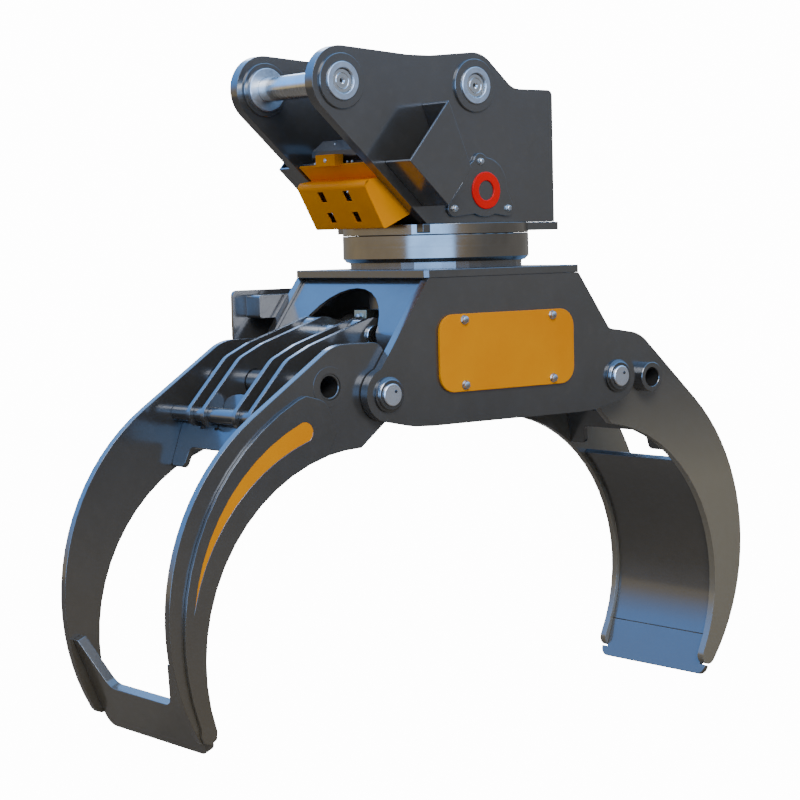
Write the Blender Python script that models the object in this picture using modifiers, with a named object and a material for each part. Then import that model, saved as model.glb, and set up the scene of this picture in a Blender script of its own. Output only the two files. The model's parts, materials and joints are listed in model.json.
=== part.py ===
"""Log grapple: a pin-on bracket, a slewing rotator and two coupled tines closed by two cylinders.

Metres, +Z up. The origin is the middle of the front arm pin. Shapes are drawn in the slew frame,
whose origin is on the slew axis at the height of the tine pivots, with X along the pivots.
"""
import math

import bmesh
import bpy
from mathutils import Matrix, Vector

# Arm pins and bracket
PIN_X = -0.3458
PIN_Z = 0.6078
PIN_SPACING = 0.340
PIN_RADIUS = 0.025
PIN_HALF = 0.1445
PIN_CENTRE_HOLE = 0.008
EAR_INNER = 0.115
EAR_THICK = 0.025
EAR_FRONT_RADIUS = 0.069
EAR_REAR_RADIUS = 0.0675
EAR_WAIST_Z = 0.6650
EAR_SHELF_Z = 0.6045
EAR_SHELF_X = 0.101
EAR_BACK_X = 0.211
EAR_FOOT_X = -0.138
BOSS_RADIUS = 0.055
BOSS_HEIGHT = 0.005
BUSH_RADIUS = 0.0375
BUSH_OUT = 0.149
BUSH_COLLAR_RADIUS = 0.0435
BUSH_COLLAR = 0.006
END_PLATE_X = 0.150
END_PLATE_THICK = 0.011
END_PLATE_TOP = 0.595

# Rotator
BASE_BOTTOM = 0.312
BASE_TOP = 0.329
BASE_HALF = 0.142
BASE_LEFT = -0.150
BASE_RIGHT = 0.220
ROTATOR_RADIUS = 0.195
FLANGE_BOTTOM = 0.308
HOUSING_BOTTOM = 0.2523
HOUSING_CHAMFER = 0.008
HOUSING_WALL = 0.011
HOUSING_ROOF = 0.016
RING_BOTTOM = 0.2387
RING_RADIUS = 0.180
RING_BORE = 0.140
MODULE = 0.00625
RING_TEETH = 48
PINION_TEETH = 12
PINION_LOW = 0.258
PINION_HIGH = 0.288
PINION_SHAFT_SINK = 0.004
SHAFT_RADIUS = 0.012
MOTOR_RADIUS = 0.036
MOTOR_TOP = 0.425
MOTOR_FLANGE = 0.018
MOTOR_CAP = 0.012
HOUSING_BORE = 0.030
SLEW_GAP = 0.0015
PINION_OFFSET = (RING_TEETH - PINION_TEETH) * MODULE / 2.0

# Lower frame
PIVOT_X = 0.310
FRAME_OUT = 0.220
FRAME_THICK = 0.020
TOP_LOW = 0.2223
TOP_THICK = 0.016
TOP_HALF_X = 0.209
TOP_CHAMFER = 0.008
SIDE_TOP_X = 0.203
SIDE_SLOPE = 1.39
SIDE_BOTTOM = -0.0695
EAR_RADIUS = 0.053
WEB_SET_BACK = 0.008
WEB_THICK = 0.010
WEB_BEND_Z = 0.115
WEB_FOOT_Z = 0.045
ARCH_HALF = 0.139
ARCH_Z = 0.0835
ARCH_RISE = 0.118
PIVOT_RADIUS = 0.022
PIVOT_HALF = 0.2355
COLLAR_RADIUS = 0.035
COLLAR_END = 0.2315
PANEL_LEFT = -0.183
PANEL_RIGHT = 0.180
PANEL_LOW = -0.006
PANEL_HIGH = 0.149
PANEL_CORNER = 0.036
PANEL_THICK = 0.006

# Cross plates, hose channels and side cover on the bracket
FRONT_PLATE_SET_BACK = 0.0085
FRONT_PLATE_BACK = 0.0205
FRONT_PLATE_TOP = 0.172
CHANNEL = ((-0.141, 0.570), (-0.2425, 0.4514), (-0.147, 0.3638), (-0.085, 0.437))
CHANNEL_OUT = 0.220
CHANNEL_WALL = 0.005
COVER_BOLTS = ((0.0025, 0.4545), (0.0750, 0.3588), (-0.0695, 0.3591))
COVER_CENTRE = (0.0130, 0.402)
COVER_RADIUS = 0.061
COVER_LUG = 0.017
COVER_ROOT = 0.051
COVER_THICK = 0.006

# Valve guard and valve cover
GUARD_HALF = 0.113
GUARD_WALL = 0.004
GUARD_FRONT_TOP = (-0.2788, 0.4166)
GUARD_FRONT_LOW = (-0.226, 0.3204)
GUARD_LIP_TOP = 0.178
GUARD_TOP = 0.133
GUARD_FOOT = 0.026
GUARD_FLANGE_LAP = 0.008
GUARD_FLANGE_INSET = 0.001
WINDOW_WIDE = 0.020
WINDOW_HIGH = 0.024
WINDOW_PITCH_Y = 0.042
WINDOW_PITCH_S = 0.024
TAB_HALF = 0.032
TAB_FRONT = -0.2845
TAB_TOP = 0.4725
TAB_LOW = 0.449
VALVE_FRONT = -0.2625
VALVE_BACK = -0.190
VALVE_TOP = 0.5016
VALVE_BROW = 0.481
VALVE_HALF = 0.074
VALVE_TOP_HALF = 0.041

# Hose guard, clamp and elbow on the lower frame
FAR_GUARD_LEFT = -0.336
FAR_GUARD_RIGHT = -0.160
FAR_GUARD_LOW = 0.090
FAR_GUARD_HIGH = 0.200
FAR_GUARD_FACE = 0.268
FAR_GUARD_THICK = 0.008
FAR_BAR_LEFT = -0.301
FAR_BAR_RIGHT = -0.175
FAR_BAR_LOW = 0.141
FAR_BAR_HIGH = 0.189
STRAP_X = -0.1637
STRAP_THICK = 0.008
STRAP_HALF = 0.022
CLAMP_LEFT = -0.205
CLAMP_LOW = 0.098
CLAMP_SPLIT = 0.127
CLAMP_HIGH = 0.157
CLAMP_HALF = 0.020
TUBE_RADIUS = 0.008
ELBOW_BEND = 0.014
ELBOW_LEAD = 0.004
ELBOW_DROP = 0.030

# Tines, in metres outward from the pivot and up
OUTER_CENTRE = (0.0598, -0.3929)
OUTER_RADIUS = 0.4412
INNER_CENTRE = (0.0507, -0.4764)
INNER_RADIUS = 0.3751
SHOULDER_ANGLE = 56.5
SHOULDER_TOP = 0.102
SHOULDER_RADIUS = 0.090
INBOARD_U = -0.011
NOSE_RADIUS = 0.020
HUB_RADIUS = 0.050
HUB_TUBE_RADIUS = 0.040
TINE_THICK = 0.017
LEFT_OUT = 0.197
RIGHT_OUT = 0.166
REACH_OUT = 0.199
RUNNING = 0.0005
RIGHT_LEAD = 8.5
OVERLAY_THICK = 0.0077
OVERLAY_EDGE = ((0.205, 0.002), (0.414, -0.195), (0.443, -0.588))
OVERLAY_HEAD = ((0.186, 0.009, 0.012), (0.141, -0.004, 0.030), (0.114, -0.060, 0.030))
OVERLAY_HEEL_ANGLE = 76.5
OVERLAY_INSET = 0.002
STRIPE_OUTER = ((0.196, -0.041), (0.350, -0.149), (0.449, -0.364))
STRIPE_INNER = ((0.449, -0.364), (0.330, -0.162), (0.180, -0.076))
STRIPE_DEPTH = 0.002
RIB_THICK = 0.012
RIB_STATIONS = (-0.105, -0.055, 0.055, 0.105)
LEVER = (-0.052, 0.110)
LEVER_RADIUS = 0.036
LEVER_PIN_RADIUS = 0.020
LEVER_PIN_HALF = 0.117
UPPER_TUBE = {"left": (0.125, 0.0217), "right": (0.128, 0.008)}
UPPER_TUBE_RADIUS = {"left": 0.026, "right": 0.032}
UPPER_TUBE_BORE = {"left": 0.021, "right": 0.0205}
BAR = (0.228, -0.038)
BAR_RADIUS = 0.016
RIB_TOE_RADIUS = 0.025
RIB_HUB_INSET = 0.004
RIB_TUBE_PLAY = 0.0015
HUB_PLAY = 0.001
RIB_BROW = (0.160, 0.072)
TIE_FOOT = (0.2472, -0.1442)
TIE_ANGLE = 109.2
TIE_THICK = 0.012
TIE_HEIGHT = 0.118
TIE_ARCH = 0.157
TIE_MIDDLE = 0.041
LEFT_LIP_FOOT = (0.4115, -0.6482)
LEFT_LIP_ANGLE = 67.4
LEFT_LIP_LENGTH = 0.196
LEFT_LIP_THICK = 0.020
LEFT_LIP_NOTCH = 0.0975
LIP_CORNER = 0.026
LIP_ARM = 0.018
LIP_NOTCH_HALF = 0.108
LIP_NOTCH_RADIUS = 0.030
SHELL_RADIUS = 0.384
SHELL_THICK = 0.012
SHELL_TOP_ANGLE = 53.0
SHELL_END_ANGLE = -12.0
RIGHT_LIP_FOOT = (0.411, -0.646)
RIGHT_LIP_STEP = 0.0226

# Cylinders
LANE = 0.080
EYE_RADIUS = 0.034
EYE_HALF = 0.018
BARREL_RADIUS = 0.038
BARREL_BORE = 0.0315
BARREL_START = 0.068
BARREL_END = 0.470
ROD_RADIUS = 0.018
ROD_EYE_PLAY = 0.003
PISTON_START = 0.084
PISTON_LENGTH = 0.030
ROD_EYE_NECK = 0.040
GLAND_LENGTH = 0.022
GLAND_STEP = 0.002
GLAND_DEPTH = 0.030
BLIND_WALL = 0.014
BARREL_SHOULDER = 0.016
BARREL_END_STEP = 0.012

# Clearances and facets
SEAT = 0.0003
PAST = 0.01
ROUND = 18
INNER_ROUND = 12
FINE = 40

FRAME_ORIGIN = Vector((-PIN_X, 0.0, -PIN_Z))
UP = Vector((0.0, 0.0, 1.0))

PAINT = (0.045, 0.045, 0.045, 1.0)
ORANGE = (0.745, 0.270, 0.004, 1.0)
STEEL = (0.450, 0.440, 0.420, 1.0)
BRIGHT = (0.700, 0.700, 0.680, 1.0)
LOOKS = {
    "paint": (PAINT, 0.42, 0.25),
    "orange": (ORANGE, 0.38, 0.0),
    "machined": (STEEL, 0.28, 1.0),
    "bright": (BRIGHT, 0.22, 1.0),
    "zinc": ((0.45, 0.47, 0.36, 1.0), 0.35, 0.9),
}


def clear_scene():
    """Remove the objects that the scene opened with."""
    for thing in list(bpy.data.objects):
        bpy.data.objects.remove(thing)


def collection(name):
    """Return a new collection linked to the scene."""
    group = bpy.data.collections.new(name)
    bpy.context.scene.collection.children.link(group)
    return group


def finish(name, look):
    """Return a Principled material for one sub-part."""
    colour, roughness, metallic = LOOKS[look]
    material = bpy.data.materials.new(name + "_finish")
    material.use_nodes = True
    shader = material.node_tree.nodes["Principled BSDF"]
    shader.inputs["Base Color"].default_value = colour
    shader.inputs["Roughness"].default_value = roughness
    shader.inputs["Metallic"].default_value = metallic
    material.diffuse_color = colour
    return material


def arc(centre, radius, start, end, steps=12):
    """Points on a circle from one angle to another, in degrees."""
    points = []
    for step in range(steps + 1):
        angle = math.radians(start + (end - start) * step / steps)
        points.append((centre[0] + radius * math.cos(angle), centre[1] + radius * math.sin(angle)))
    return points


def circle(centre, radius, steps=ROUND):
    """A closed round outline."""
    return arc(centre, radius, 0.0, 360.0, steps)[:-1]


def bearing(origin, point):
    """Angle of a point as seen from an origin, in degrees."""
    return math.degrees(math.atan2(point[1] - origin[1], point[0] - origin[0]))


def tangent(centre, radius, point, side):
    """Angle on a circle where the line from an outside point touches it."""
    distance = math.dist(centre, point)
    return bearing(centre, point) + side * math.degrees(math.acos(radius / distance))


def common_tangent(first, first_radius, second, second_radius, side):
    """Angle on both circles where one line touches the two on the same side."""
    distance = math.dist(first, second)
    lean = math.degrees(math.acos((first_radius - second_radius) / distance))
    return bearing(first, second) + side * lean


def meeting(first, first_radius, second, second_radius, side):
    """Point where two circles cross."""
    distance = math.dist(first, second)
    along = (first_radius ** 2 - second_radius ** 2 + distance ** 2) / (2.0 * distance)
    lean = math.degrees(math.acos(along / first_radius))
    return arc(first, first_radius, bearing(first, second) + side * lean, 0.0, 1)[0]


def arc_through(first, middle, last, steps=14):
    """Points on the circle that passes through three points."""
    ax, az = first
    bx, bz = middle
    cx, cz = last
    det = 2.0 * (ax * (bz - cz) + bx * (cz - az) + cx * (az - bz))
    sa, sb, sc = (x * x + z * z for x, z in (first, middle, last))
    centre = ((sa * (bz - cz) + sb * (cz - az) + sc * (az - bz)) / det,
              (sa * (cx - bx) + sb * (ax - cx) + sc * (bx - ax)) / det)
    start = bearing(centre, first)
    turn = (bearing(centre, last) - start + 180.0) % 360.0 - 180.0
    return arc(centre, math.dist(centre, first), start, start + turn, steps)


def rounded(corners, steps=6):
    """Outline from (x, z) corners, where (x, z, radius) is rounded."""
    outline = []
    count = len(corners)
    for index, corner in enumerate(corners):
        if len(corner) == 2:
            outline.append(corner)
            continue
        at = Vector(corner[:2])
        before = (Vector(corners[index - 1][:2]) - at).normalized()
        after = (Vector(corners[(index + 1) % count][:2]) - at).normalized()
        half = before.angle(after) / 2.0
        centre = at + (before + after).normalized() * corner[2] / math.sin(half)
        first = at + before * corner[2] / math.tan(half)
        last = at + after * corner[2] / math.tan(half)
        start = bearing(centre, first)
        turn = (bearing(centre, last) - start + 180.0) % 360.0 - 180.0
        outline += arc(centre, corner[2], start, start + turn, steps)
    return outline


def box(low_x, low_z, high_x, high_z, radius=0.0):
    """A rectangle, with rounded corners if a radius is given."""
    corners = [(low_x, low_z), (high_x, low_z), (high_x, high_z), (low_x, high_z)]
    if radius:
        corners = [(x, z, radius) for x, z in corners]
    return rounded(corners)


def mirrored(outline):
    """The outline with its first coordinate turned about."""
    return [(-x, z) for x, z in reversed(outline)]


FRONT = Matrix(((1, 0, 0, 0), (0, 0, -1, 0), (0, 1, 0, 0), (0, 0, 0, 1)))
FLAT = Matrix.Identity(4)
SIDE = Matrix(((0, 0, 1, 0), (1, 0, 0, 0), (0, 1, 0, 0), (0, 0, 0, 1)))


def as_mesh(shape, matrix):
    """Turn a shape object into a welded mesh with its faces pointing out."""
    bpy.context.scene.collection.objects.link(shape)
    graph = bpy.context.evaluated_depsgraph_get()
    mesh = bpy.data.meshes.new_from_object(shape.evaluated_get(graph))
    bpy.data.objects.remove(shape)
    mesh.transform(matrix)
    work = bmesh.new()
    work.from_mesh(mesh)
    bmesh.ops.remove_doubles(work, verts=work.verts, dist=0.000005)
    bmesh.ops.recalc_face_normals(work, faces=work.faces)
    work.to_mesh(mesh)
    work.free()
    mesh.materials.clear()
    return mesh


def slab(outline, low, high, holes=(), matrix=FRONT):
    """Mesh of a flat outline between two offsets along the plane's normal."""
    curve = bpy.data.curves.new("outline", "CURVE")
    curve.dimensions = "2D"
    curve.fill_mode = "BOTH"
    curve.extrude = (high - low) / 2.0
    for loop in [outline, *holes]:
        spline = curve.splines.new("POLY")
        spline.points.add(len(loop) - 1)
        for point, place in zip(spline.points, loop):
            point.co = (place[0], place[1], 0.0, 1.0)
        spline.use_cyclic_u = True
    shape = bpy.data.objects.new("outline", curve)
    return as_mesh(shape, matrix @ Matrix.Translation(UP * (low + high) / 2.0))


def plate(outline, near, far, holes=()):
    """Mesh of an upright plate seen from the front, from y near to y far."""
    return slab(outline, -far, -near, holes, FRONT)


def turned(profile, steps=ROUND, matrix=FLAT):
    """Mesh of a profile of (radius, height) points turned about the local Z axis."""
    mesh = bpy.data.meshes.new("profile")
    edges = [(index, index + 1) for index in range(len(profile) - 1)]
    if profile[0][0] > 0.0:
        edges.append((len(profile) - 1, 0))
    mesh.from_pydata([(radius, 0.0, height) for radius, height in profile], edges, [])
    shape = bpy.data.objects.new("profile", mesh)
    screw = shape.modifiers.new("turn", "SCREW")
    screw.steps = steps
    screw.render_steps = steps
    screw.use_merge_vertices = True
    screw.merge_threshold = 0.00001
    return as_mesh(shape, matrix)


def drum(radius, near, far, centre=(0.0, 0.0), steps=ROUND):
    """Mesh of a cylinder along Y through a point of the front view."""
    return plate(circle(centre, radius, steps), near, far)


def add(name, mesh, look, group, place=FRAME_ORIGIN):
    """Link a named sub-part with its own material."""
    part = bpy.data.objects.new(name, mesh)
    part.location = place
    mesh.materials.append(finish(name, look))
    mesh.shade_smooth()
    mesh.set_sharp_from_angle(angle=math.radians(32.0))
    group.objects.link(part)
    return part


def combine(part, mesh, operation, cutters):
    """Join a mesh to a part, cut it away, or keep what they share."""
    tool = bpy.data.objects.new(part.name + "_" + operation.lower(), mesh)
    tool.location = part.location
    tool.hide_render = True
    tool.display_type = "WIRE"
    cutters.objects.link(tool)
    step = part.modifiers.new(operation.lower(), "BOOLEAN")
    step.operation = operation
    step.solver = "EXACT"
    step.object = tool


# Bracket

def ear_outline():
    """One ear plate: two pin eyes, a sagging top edge, a rear shelf and the raked front edge."""
    front = (PIN_X, PIN_Z)
    rear = (PIN_X + PIN_SPACING, PIN_Z)
    foot = (EAR_FOOT_X, BASE_TOP + SEAT)
    shelf = (EAR_SHELF_X, EAR_SHELF_Z)
    waist_front = (PIN_X + 0.49 * PIN_SPACING, EAR_WAIST_Z)
    waist_rear = (PIN_X + 0.66 * PIN_SPACING, EAR_WAIST_Z)
    eye = arc(front, EAR_FRONT_RADIUS, tangent(front, EAR_FRONT_RADIUS, foot, -1) + 360.0,
              tangent(front, EAR_FRONT_RADIUS, waist_front, 1), 16)
    back_eye = arc(rear, EAR_REAR_RADIUS, tangent(rear, EAR_REAR_RADIUS, waist_rear, -1) % 360.0,
                   tangent(rear, EAR_REAR_RADIUS, shelf, 1), 7)
    return rounded([*eye, (*waist_front, 0.09), (*waist_rear, 0.09), *back_eye, (*shelf, 0.05),
                    (EAR_BACK_X, EAR_SHELF_Z, 0.012), (EAR_BACK_X, foot[1]), foot])


def front_edge_point(along, inward):
    """Point along the ears' raked front edge from its foot, and inward from it."""
    front = (PIN_X, PIN_Z)
    foot = (EAR_FOOT_X, BASE_TOP + SEAT)
    turn = math.radians(tangent(front, EAR_FRONT_RADIUS, foot, -1))
    inside = (-math.cos(turn), -math.sin(turn))
    upward = (-inside[1], inside[0])
    return (foot[0] + along * upward[0] + inward * inside[0],
            foot[1] + along * upward[1] + inward * inside[1])


def pin_boss(side):
    """Welded boss with its bush, turned about the pin axis and flanged on both faces of the ear."""
    bore = PIN_RADIUS + SEAT
    outer = EAR_INNER + EAR_THICK
    profile = [(bore, BUSH_OUT), (BUSH_RADIUS, BUSH_OUT), (BUSH_RADIUS, outer + BOSS_HEIGHT),
               (BOSS_RADIUS, outer + BOSS_HEIGHT), (BOSS_RADIUS, outer + SEAT), (BUSH_RADIUS, outer + SEAT),
               (BUSH_RADIUS, EAR_INNER - SEAT), (BOSS_RADIUS, EAR_INNER - SEAT),
               (BOSS_RADIUS, EAR_INNER - BOSS_HEIGHT), (BUSH_COLLAR_RADIUS, EAR_INNER - BOSS_HEIGHT),
               (BUSH_COLLAR_RADIUS, EAR_INNER - BOSS_HEIGHT - BUSH_COLLAR),
               (bore, EAR_INNER - BOSS_HEIGHT - BUSH_COLLAR)]
    return turned(profile, ROUND, Matrix.Rotation(side * math.pi / 2.0, 4, "X"))


def arm_pin():
    """Arm pin along Y with a chamfer and a threaded centre hole at each end."""
    chamfer = 0.0015
    depth = 0.014
    half = [(0.0, PIN_HALF - depth), (PIN_CENTRE_HOLE, PIN_HALF - depth), (PIN_CENTRE_HOLE, PIN_HALF),
            (PIN_RADIUS - chamfer, PIN_HALF), (PIN_RADIUS, PIN_HALF - chamfer)]
    profile = half + [(radius, -height) for radius, height in reversed(half)]
    return turned(profile, ROUND, Matrix.Rotation(math.pi / 2.0, 4, "X"))


def bracket(parts):
    """Ears, bushes, arm pins, base plate and the cross plates between the ears."""
    pins = {"front": (PIN_X, PIN_Z), "rear": (PIN_X + PIN_SPACING, PIN_Z)}
    eyes = [circle(place, BUSH_RADIUS + SEAT) for place in pins.values()]
    for side, word in ((-1, "near"), (1, "far")):
        near, far = sorted((side * EAR_INNER, side * (EAR_INNER + EAR_THICK)))
        add("ear_plate_" + word, plate(ear_outline(), near, far, eyes), "paint", parts)
        for end, place in pins.items():
            spot = FRAME_ORIGIN + Vector((place[0], 0.0, place[1]))
            add("pin_boss_" + end + "_" + word, pin_boss(-side), "bright", parts, spot)
    for end, place in pins.items():
        spot = FRAME_ORIGIN + Vector((place[0], 0.0, place[1]))
        add("arm_pin_" + end, arm_pin(), "bright", parts, spot)
    shaft = [circle((PINION_OFFSET, 0.0), SHAFT_RADIUS + RUNNING)]
    outline = box(BASE_LEFT, -BASE_HALF, BASE_RIGHT, BASE_HALF)
    add("base_plate", slab(outline, BASE_BOTTOM, BASE_TOP, shaft, FLAT), "paint", parts)
    gap = EAR_INNER - SEAT
    outline = box(END_PLATE_X, BASE_TOP + SEAT, END_PLATE_X + END_PLATE_THICK, END_PLATE_TOP)
    add("bracket_end_plate", plate(outline, -gap, gap), "paint", parts)
    front_plate = [foot_of_front_plate(FRONT_PLATE_SET_BACK),
                   front_edge_point(FRONT_PLATE_TOP, FRONT_PLATE_SET_BACK),
                   front_edge_point(FRONT_PLATE_TOP, FRONT_PLATE_BACK),
                   foot_of_front_plate(FRONT_PLATE_BACK)]
    add("bracket_front_plate", plate(front_plate, -gap, gap), "paint", parts)


def foot_of_front_plate(inward):
    """Where a line inside the raked edge meets the top of the base plate."""
    start = front_edge_point(0.0, inward)
    ahead = front_edge_point(1.0, inward)
    share = (BASE_TOP + SEAT - start[1]) / (ahead[1] - start[1])
    return (start[0] + share * (ahead[0] - start[0]), BASE_TOP + SEAT)


def hose_channels(parts, cutters):
    """Tapered hose channels that stand on the outside of both ears, open at two ends."""
    top, left, low, right = (Vector(point) for point in CHANNEL)
    slide_top = (right - top).normalized()
    slide_low = (low - left).normalized()
    across_top = Vector((slide_top.y, -slide_top.x)) * CHANNEL_WALL
    across_low = Vector((-slide_low.y, slide_low.x)) * CHANNEL_WALL
    reach = 0.05
    inner = [top + across_top - slide_top * reach, left + across_low - slide_low * reach,
             low + across_low + slide_low * reach, right + across_top + slide_top * reach]
    inner = [tuple(point) for point in inner]
    stand = EAR_INNER + EAR_THICK + SEAT
    for side, word in ((-1, "near"), (1, "far")):
        near, far = sorted((side * stand, side * CHANNEL_OUT))
        part = add("hose_channel_" + word, plate(list(CHANNEL), near, far), "paint", parts)
        near, far = sorted((side * (stand - PAST), side * (CHANNEL_OUT - CHANNEL_WALL)))
        combine(part, plate(inner, near, far), "DIFFERENCE", cutters)


def rim_crossing(centre, radius, start, end):
    """Where the line from an outside point toward another first meets a circle."""
    line = (Vector(end) - Vector(start)).normalized()
    offset = Vector(start) - Vector(centre)
    half = offset.dot(line)
    reach = -half - math.sqrt(half ** 2 - offset.length_squared + radius ** 2)
    return tuple(Vector(start) + line * reach)


def cover_outline():
    """Round rim with a lug about each bolt, walked anticlockwise."""
    lugs = []
    for bolt in sorted(COVER_BOLTS, key=lambda place: bearing(COVER_CENTRE, place)):
        turns = [common_tangent(COVER_CENTRE, COVER_ROOT, bolt, COVER_LUG, side) for side in (-1, 1)]
        nose = arc(bolt, COVER_LUG, *turns, 6)
        roots = [arc(COVER_CENTRE, COVER_ROOT, turn, turn, 1)[0] for turn in turns]
        lugs.append([rim_crossing(COVER_CENTRE, COVER_RADIUS, nose[0], roots[0]), *nose,
                     rim_crossing(COVER_CENTRE, COVER_RADIUS, nose[-1], roots[1])])
    outline = []
    for index, lug in enumerate(lugs):
        start = bearing(COVER_CENTRE, lug[-1])
        sweep = (bearing(COVER_CENTRE, lugs[(index + 1) % len(lugs)][0]) - start) % 360.0
        rim = arc(COVER_CENTRE, COVER_RADIUS, start, start + sweep, max(2, round(sweep / 12.0)))
        outline += lug + rim[1:-1]
    return outline


def side_cover(parts):
    """Round three-lug cover bolted on the near ear."""
    stand = EAR_INNER + EAR_THICK + SEAT
    add("side_cover", plate(cover_outline(), -stand - COVER_THICK, -stand), "paint", parts)


def valve_guard(parts, cutters):
    """Folded guard over the valve, with four windows, a flange and a bolted tab."""
    face = FRONT_PLATE_SET_BACK - SEAT
    rear_top = front_edge_point(GUARD_TOP, face)
    rear_low = front_edge_point(GUARD_FOOT, face)
    outline = rounded([rear_top, (*GUARD_FRONT_TOP, 0.012), (*GUARD_FRONT_LOW, 0.006), rear_low], 5)
    guard = add("valve_guard", plate(outline, -GUARD_HALF, GUARD_HALF), "orange", parts)
    flange_end = front_edge_point(GUARD_LIP_TOP, face)
    lap = GUARD_TOP - GUARD_FLANGE_LAP
    flange = [front_edge_point(lap, face), front_edge_point(lap, face - GUARD_WALL),
              front_edge_point(GUARD_LIP_TOP, face - GUARD_WALL), flange_end]
    flange_half = GUARD_HALF - GUARD_FLANGE_INSET
    combine(guard, plate(flange, -flange_half, flange_half), "UNION", cutters)
    top, low = Vector(GUARD_FRONT_TOP), Vector(GUARD_FRONT_LOW)
    down = (low - top).normalized()
    inward = Vector((-down.y, down.x))
    roof = (Vector(rear_top) - top).normalized()
    floor = (Vector(rear_low) - low).normalized()
    roof_in = Vector((roof.y, -roof.x)) * GUARD_WALL
    floor_in = Vector((-floor.y, floor.x)) * GUARD_WALL
    reach = 0.02
    corner_top = top + inward * GUARD_WALL + roof_in
    corner_low = low + inward * GUARD_WALL + floor_in
    cavity = [tuple(corner_top), tuple(corner_low), tuple(Vector(rear_low) + floor_in + floor * reach),
              tuple(Vector(rear_top) + roof_in + roof * reach)]
    half = GUARD_HALF - GUARD_WALL
    combine(guard, plate(cavity, -half, half), "DIFFERENCE", cutters)
    middle = (top + low) / 2.0 + down * 0.002
    spread = ((-1, -1), (-1, 1), (1, -1), (1, 1))
    for row, column in spread:
        at = middle + down * WINDOW_PITCH_S * row
        hole = [at - down * WINDOW_HIGH / 2 - inward * reach, at + down * WINDOW_HIGH / 2 - inward * reach,
                at + down * WINDOW_HIGH / 2 + inward * reach, at - down * WINDOW_HIGH / 2 + inward * reach]
        near = column * WINDOW_PITCH_Y - WINDOW_WIDE / 2.0
        window = plate([tuple(point) for point in hole], near, near + WINDOW_WIDE)
        combine(guard, window, "DIFFERENCE", cutters)
    tab = box(TAB_FRONT, TAB_LOW, VALVE_FRONT - SEAT, TAB_TOP)
    combine(guard, plate(tab, -TAB_HALF, TAB_HALF), "UNION", cutters)


def valve_cover(parts, cutters):
    """Dark cover behind the guard, seated on the bracket's front plate, with a tapered crown."""
    bottom = [foot_on_plate(VALVE_FRONT), foot_on_plate(VALVE_BACK)]
    outline = [bottom[0], bottom[1], (VALVE_BACK, VALVE_TOP), (VALVE_FRONT + 0.006, VALVE_TOP),
               (VALVE_FRONT, VALVE_BROW)]
    cover = add("valve_cover", plate(outline, -VALVE_HALF, VALVE_HALF), "paint", parts)
    crown = [(-VALVE_HALF - 0.001, 0.30), (VALVE_HALF + 0.001, 0.30), (VALVE_HALF + 0.001, VALVE_BROW),
             (VALVE_TOP_HALF, VALVE_TOP + 0.001), (-VALVE_TOP_HALF, VALVE_TOP + 0.001),
             (-VALVE_HALF - 0.001, VALVE_BROW)]
    keep = slab(crown, VALVE_FRONT - 0.02, VALVE_BACK + 0.02, (), SIDE)
    combine(cover, keep, "INTERSECT", cutters)


def foot_on_plate(x):
    """Point on the inner face of the bracket's front plate at a given x."""
    start = front_edge_point(0.0, FRONT_PLATE_BACK + SEAT)
    ahead = front_edge_point(1.0, FRONT_PLATE_BACK + SEAT)
    return (x, start[1] + (ahead[1] - start[1]) * (x - start[0]) / (ahead[0] - start[0]))


# Rotator

def gear_outline(teeth, tip, root, half_tip, half_root):
    """Gear outline with straight-sided teeth; the half widths are shares of one pitch."""
    points = []
    pitch = 360.0 / teeth
    for tooth in range(teeth):
        middle = tooth * pitch
        for offset, radius in ((-half_root, root), (-half_tip, tip), (half_tip, tip), (half_root, root)):
            angle = math.radians(middle + offset * pitch)
            points.append((radius * math.cos(angle), radius * math.sin(angle)))
    return points


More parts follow.
